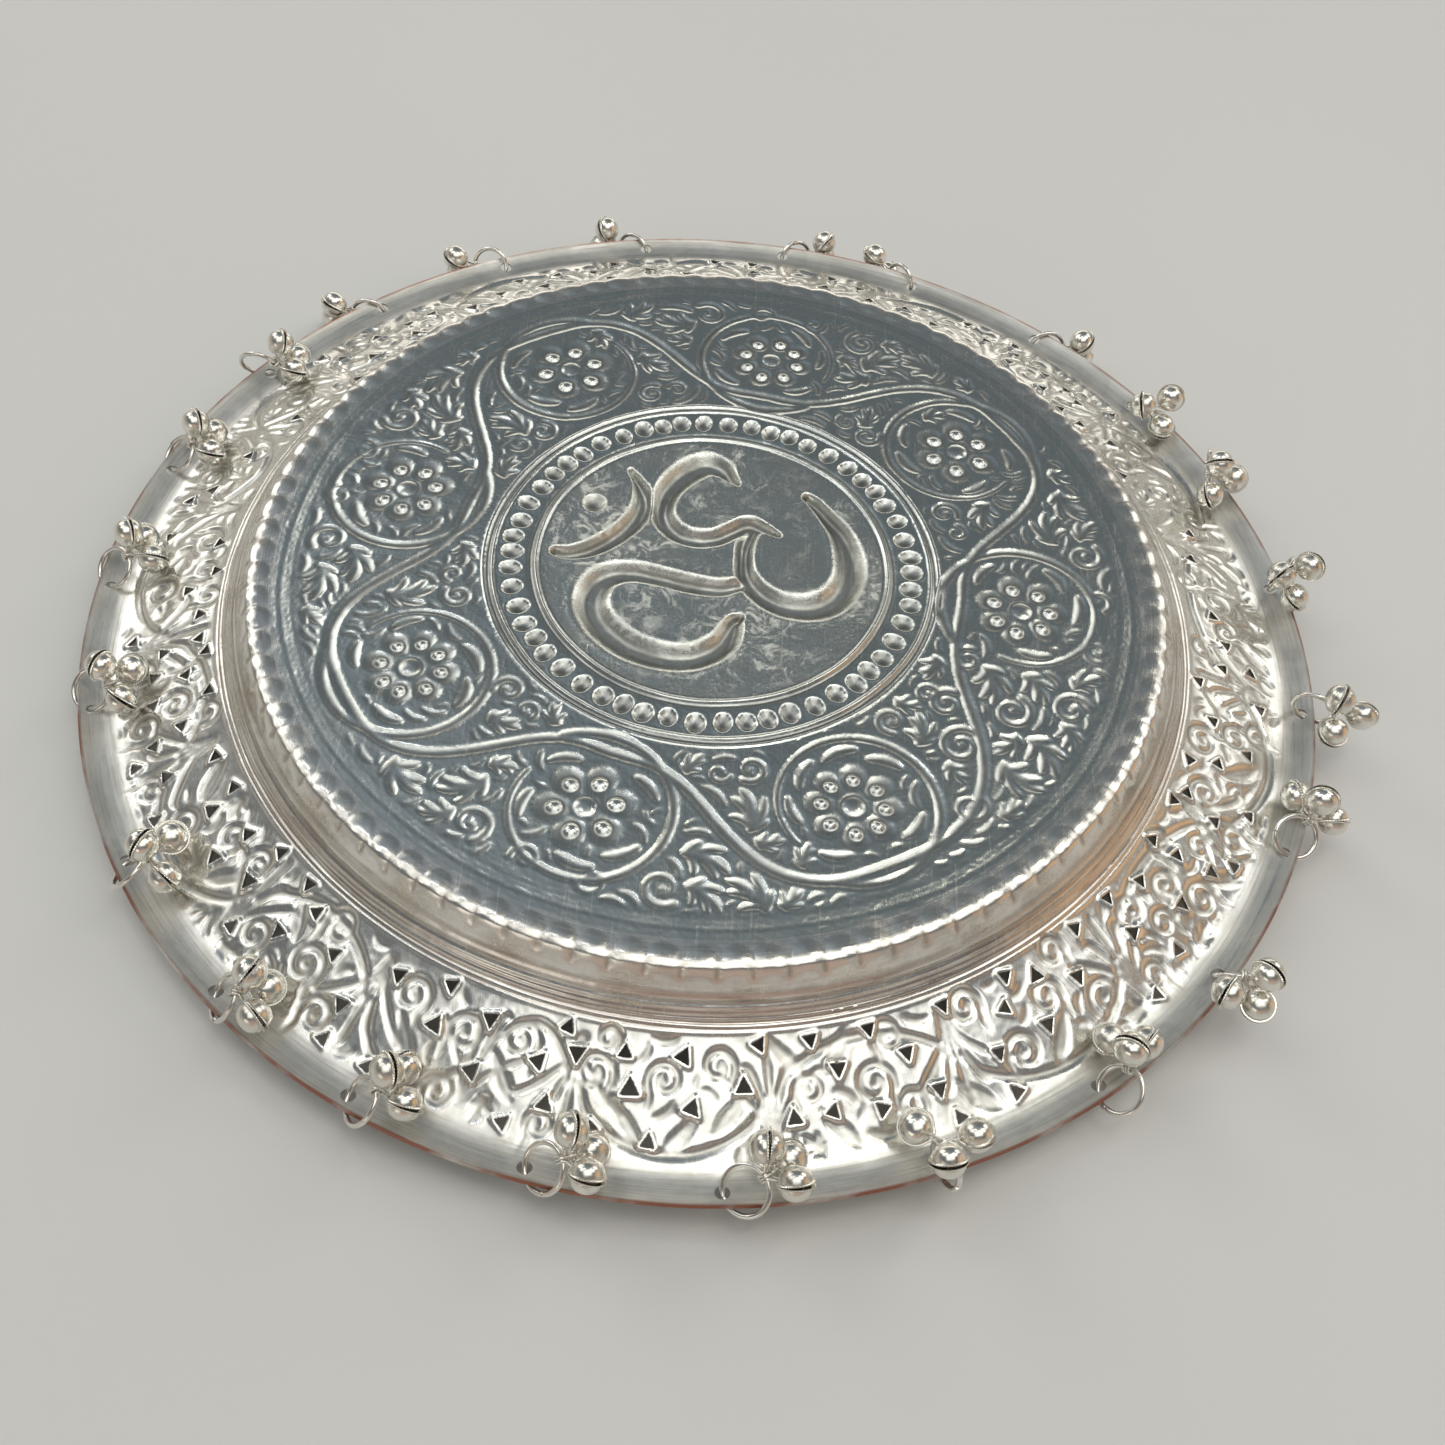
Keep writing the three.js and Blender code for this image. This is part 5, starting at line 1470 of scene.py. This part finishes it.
for o in plate_parts:
    o.data.materials.append(M_EMBLEM if o.name in ("base_emblem",) else M_BASE if o.name.startswith("base_")
                            else M_WALL if o.name.startswith("scalloped") else M_FLANGE)
for o in ring_objs:
    o.data.materials.append(M_WIRE)
for o in shell_objs:
    o.data.materials.append(M_BELL)
for o in eye_objs:
    o.data.materials.append(M_WIRE)
for o in pellet_objs:
    o.data.materials.append(M_PELLET)
for name, node in frame["nodes"].items():
    node.data.materials.clear()
    node.data.materials.append(M_FLANGE if name == "plate" else M_WIRE if name.startswith("jump") else M_BELL)

# =============================================================================
# Stage, light and camera
# =============================================================================
scene.view_settings.view_transform = "Standard"
FLOOR = cad_lo.z
me = bpy.data.meshes.new("floor")
s = 14.0
me.from_pydata([(-s, -s, FLOOR), (s, -s, FLOOR), (s, s, FLOOR), (-s, s, FLOOR)], [], [(0, 1, 2, 3)])
floor = bpy.data.objects.new("floor", me)
scene.collection.objects.link(floor)
k = Nodes("pale_floor")
fc = k.mix(k.ramp(k.noise(3, 2), 0.3, 0.7), (0.76, 0.76, 0.75), (0.73, 0.73, 0.72))
k.finish(fc, 0.6, None, 0.0)
floor.data.materials.append(k.mat)


def area(name, loc, target, sx, sy, radiance, color=(1, 1, 1)):
    """A soft panel of a given brightness."""
    l = bpy.data.lights.new(name, "AREA")
    l.shape = "RECTANGLE"
    l.size, l.size_y = sx, sy
    l.energy = radiance * math.pi * sx * sy
    l.color = color
    o = bpy.data.objects.new(name, l)
    o.location = loc
    d = Vector(target) - Vector(loc)
    o.rotation_euler = d.to_track_quat("-Z", "Y").to_euler()
    scene.collection.objects.link(o)
    return o


area("overhead", (0.10, -0.42, 1.5), (0, 0, 0), 1.5, 1.2, 1.15, (1.0, 0.985, 0.915))
area("overhead_core", (0.25, -0.25, 1.45), (0, 0, 0), 0.34, 0.26, 4.0, (1.0, 0.98, 0.90))
area("left_window", (-0.98, 0.86, 0.86), (0, 0, 0), 0.75, 0.70, 1.75, (1.0, 0.99, 0.935))
area("right_card", (1.02, 0.80, 0.80), (0, 0, 0), 0.70, 0.65, 1.5, (1.0, 0.975, 0.91))
area("back_card", (0.0, 1.75, 0.26), (0, 0, 0), 1.9, 0.42, 1.15, (1.0, 0.975, 0.89))
area("upper_left", (-0.86, 0.16, 1.22), (0, 0, 0), 0.55, 0.50, 1.6, (1.0, 0.985, 0.92))
area("upper_right", (0.86, 0.16, 1.22), (0, 0, 0), 0.55, 0.50, 1.8, (1.0, 0.985, 0.94))
area("glint", (0.50, 0.36, 1.35), (0, 0, 0), 0.12, 0.30, 6.0, (1.0, 0.96, 0.80))
area("glint_left", (-0.42, 0.30, 1.4), (0, 0, 0), 0.10, 0.34, 5.0, (0.97, 0.99, 1.0))
area("front_low", (-0.9, -1.5, 0.55), (0, 0, 0), 0.9, 0.5, 0.9, (1.0, 0.96, 0.86))

world_ = bpy.data.worlds.new("studio")
scene.world = world_
world_.use_nodes = True
wt = world_.node_tree
wt.nodes.clear()
tc = wt.nodes.new("ShaderNodeTexCoord")
sep = wt.nodes.new("ShaderNodeSeparateXYZ")
wt.links.new(tc.outputs["Generated"], sep.inputs[0])
ramp = wt.nodes.new("ShaderNodeValToRGB")
wt.links.new(sep.outputs[2], ramp.inputs[0])
els = ramp.color_ramp.elements
els[0].position, els[0].color = 0.0, (0.34, 0.30, 0.26, 1)
els[1].position, els[1].color = 1.0, (0.42, 0.42, 0.41, 1)
for p_, c_ in ((0.14, (0.50, 0.47, 0.41, 1)), (0.34, (0.26, 0.25, 0.235, 1)), (0.55, (0.14, 0.145, 0.145, 1)), (0.78, (0.12, 0.135, 0.15, 1)),
               (0.92, (0.20, 0.215, 0.225, 1))):
    e = els.new(p_)
    e.color = c_


def patch(base, direction, inner, outer, color, amount=1.0):
    """A soft patch of colour in the surroundings around one direction."""
    dot = wt.nodes.new("ShaderNodeVectorMath")
    dot.operation = "DOT_PRODUCT"
    wt.links.new(tc.outputs["Generated"], dot.inputs[0])
    dot.inputs[1].default_value = Vector(direction).normalized()
    mr = wt.nodes.new("ShaderNodeMapRange")
    mr.interpolation_type = "SMOOTHSTEP"
    mr.inputs["From Min"].default_value = math.cos(math.radians(outer))
    mr.inputs["From Max"].default_value = math.cos(math.radians(inner))
    mr.inputs["To Max"].default_value = amount
    wt.links.new(dot.outputs["Value"], mr.inputs["Value"])
    mx = wt.nodes.new("ShaderNodeMix")
    mx.data_type = "RGBA"
    wt.links.new(mr.outputs["Result"], mx.inputs["Factor"])
    wt.links.new(base, mx.inputs[6])
    mx.inputs[7].default_value = (*color, 1)
    return mx.outputs[2]


sky = patch(ramp.outputs[0], (0.0, 0.64, 0.77), 14, 30, (0.125, 0.148, 0.162))
sky = patch(sky, (-0.25, 0.46, 0.86), 4, 22, (0.20, 0.24, 0.275))
sky = patch(sky, (0.85, -0.05, 0.28), 8, 26, (0.95, 0.56, 0.26), 0.6)
sky = patch(sky, (0.2, -1.0, 0.15), 10, 40, (0.50, 0.36, 0.29), 0.7)
bg = wt.nodes.new("ShaderNodeBackground")
bg.inputs["Strength"].default_value = 1.0
wo = wt.nodes.new("ShaderNodeOutputWorld")
lp = wt.nodes.new("ShaderNodeLightPath")
seen = wt.nodes.new("ShaderNodeMix")
seen.data_type = "RGBA"
wt.links.new(lp.outputs["Is Camera Ray"], seen.inputs["Factor"])
wt.links.new(sky, seen.inputs[6])
seen.inputs[7].default_value = (0.40, 0.40, 0.39, 1)
wt.links.new(seen.outputs[2], bg.inputs[0])
wt.links.new(bg.outputs[0], wo.inputs[0])

# camera: fitted so that the rim and base circles fall where they do in the view
ELEV, DIST, FOCAL = 49.2786, 2.6993 * 0.1524, 1627.08
RX, RY, RZ = math.radians(3.7401), math.radians(-0.7934), math.radians(4.4528)
cd = np.array([0, -DIST * math.cos(math.radians(ELEV)), DIST * math.sin(math.radians(ELEV))])
fwd = -cd / np.linalg.norm(cd)
right = np.array([1.0, 0, 0])
up = np.cross(right, fwd)
M0 = np.stack([right, -up, fwd])


def rot(ax, a):
    c, s_ = math.cos(a), math.sin(a)
    return np.array({"x": [[1, 0, 0], [0, c, -s_], [0, s_, c]], "y": [[c, 0, s_], [0, 1, 0], [-s_, 0, c]], "z": [[c, -s_, 0], [s_, c, 0], [0, 0, 1]]}[ax])


Mc = rot("z", RZ) @ rot("y", RY) @ rot("x", RX) @ M0
cam = bpy.data.cameras.new("camera")
cam.sensor_width = 36.0
cam.lens = FOCAL / 1445 * 36.0
cam.clip_start, cam.clip_end = 0.01, 50
co = bpy.data.objects.new("camera", cam)
mw = Matrix(((Mc[0][0], -Mc[1][0], -Mc[2][0], cd[0]), (Mc[0][1], -Mc[1][1], -Mc[2][1], cd[1]),
             (Mc[0][2], -Mc[1][2], -Mc[2][2], cd[2] + (TOP - 19.5) * MM), (0, 0, 0, 1)))
co.matrix_world = mw
scene.collection.objects.link(co)
scene.camera = co

bpy.context.view_layer.update()
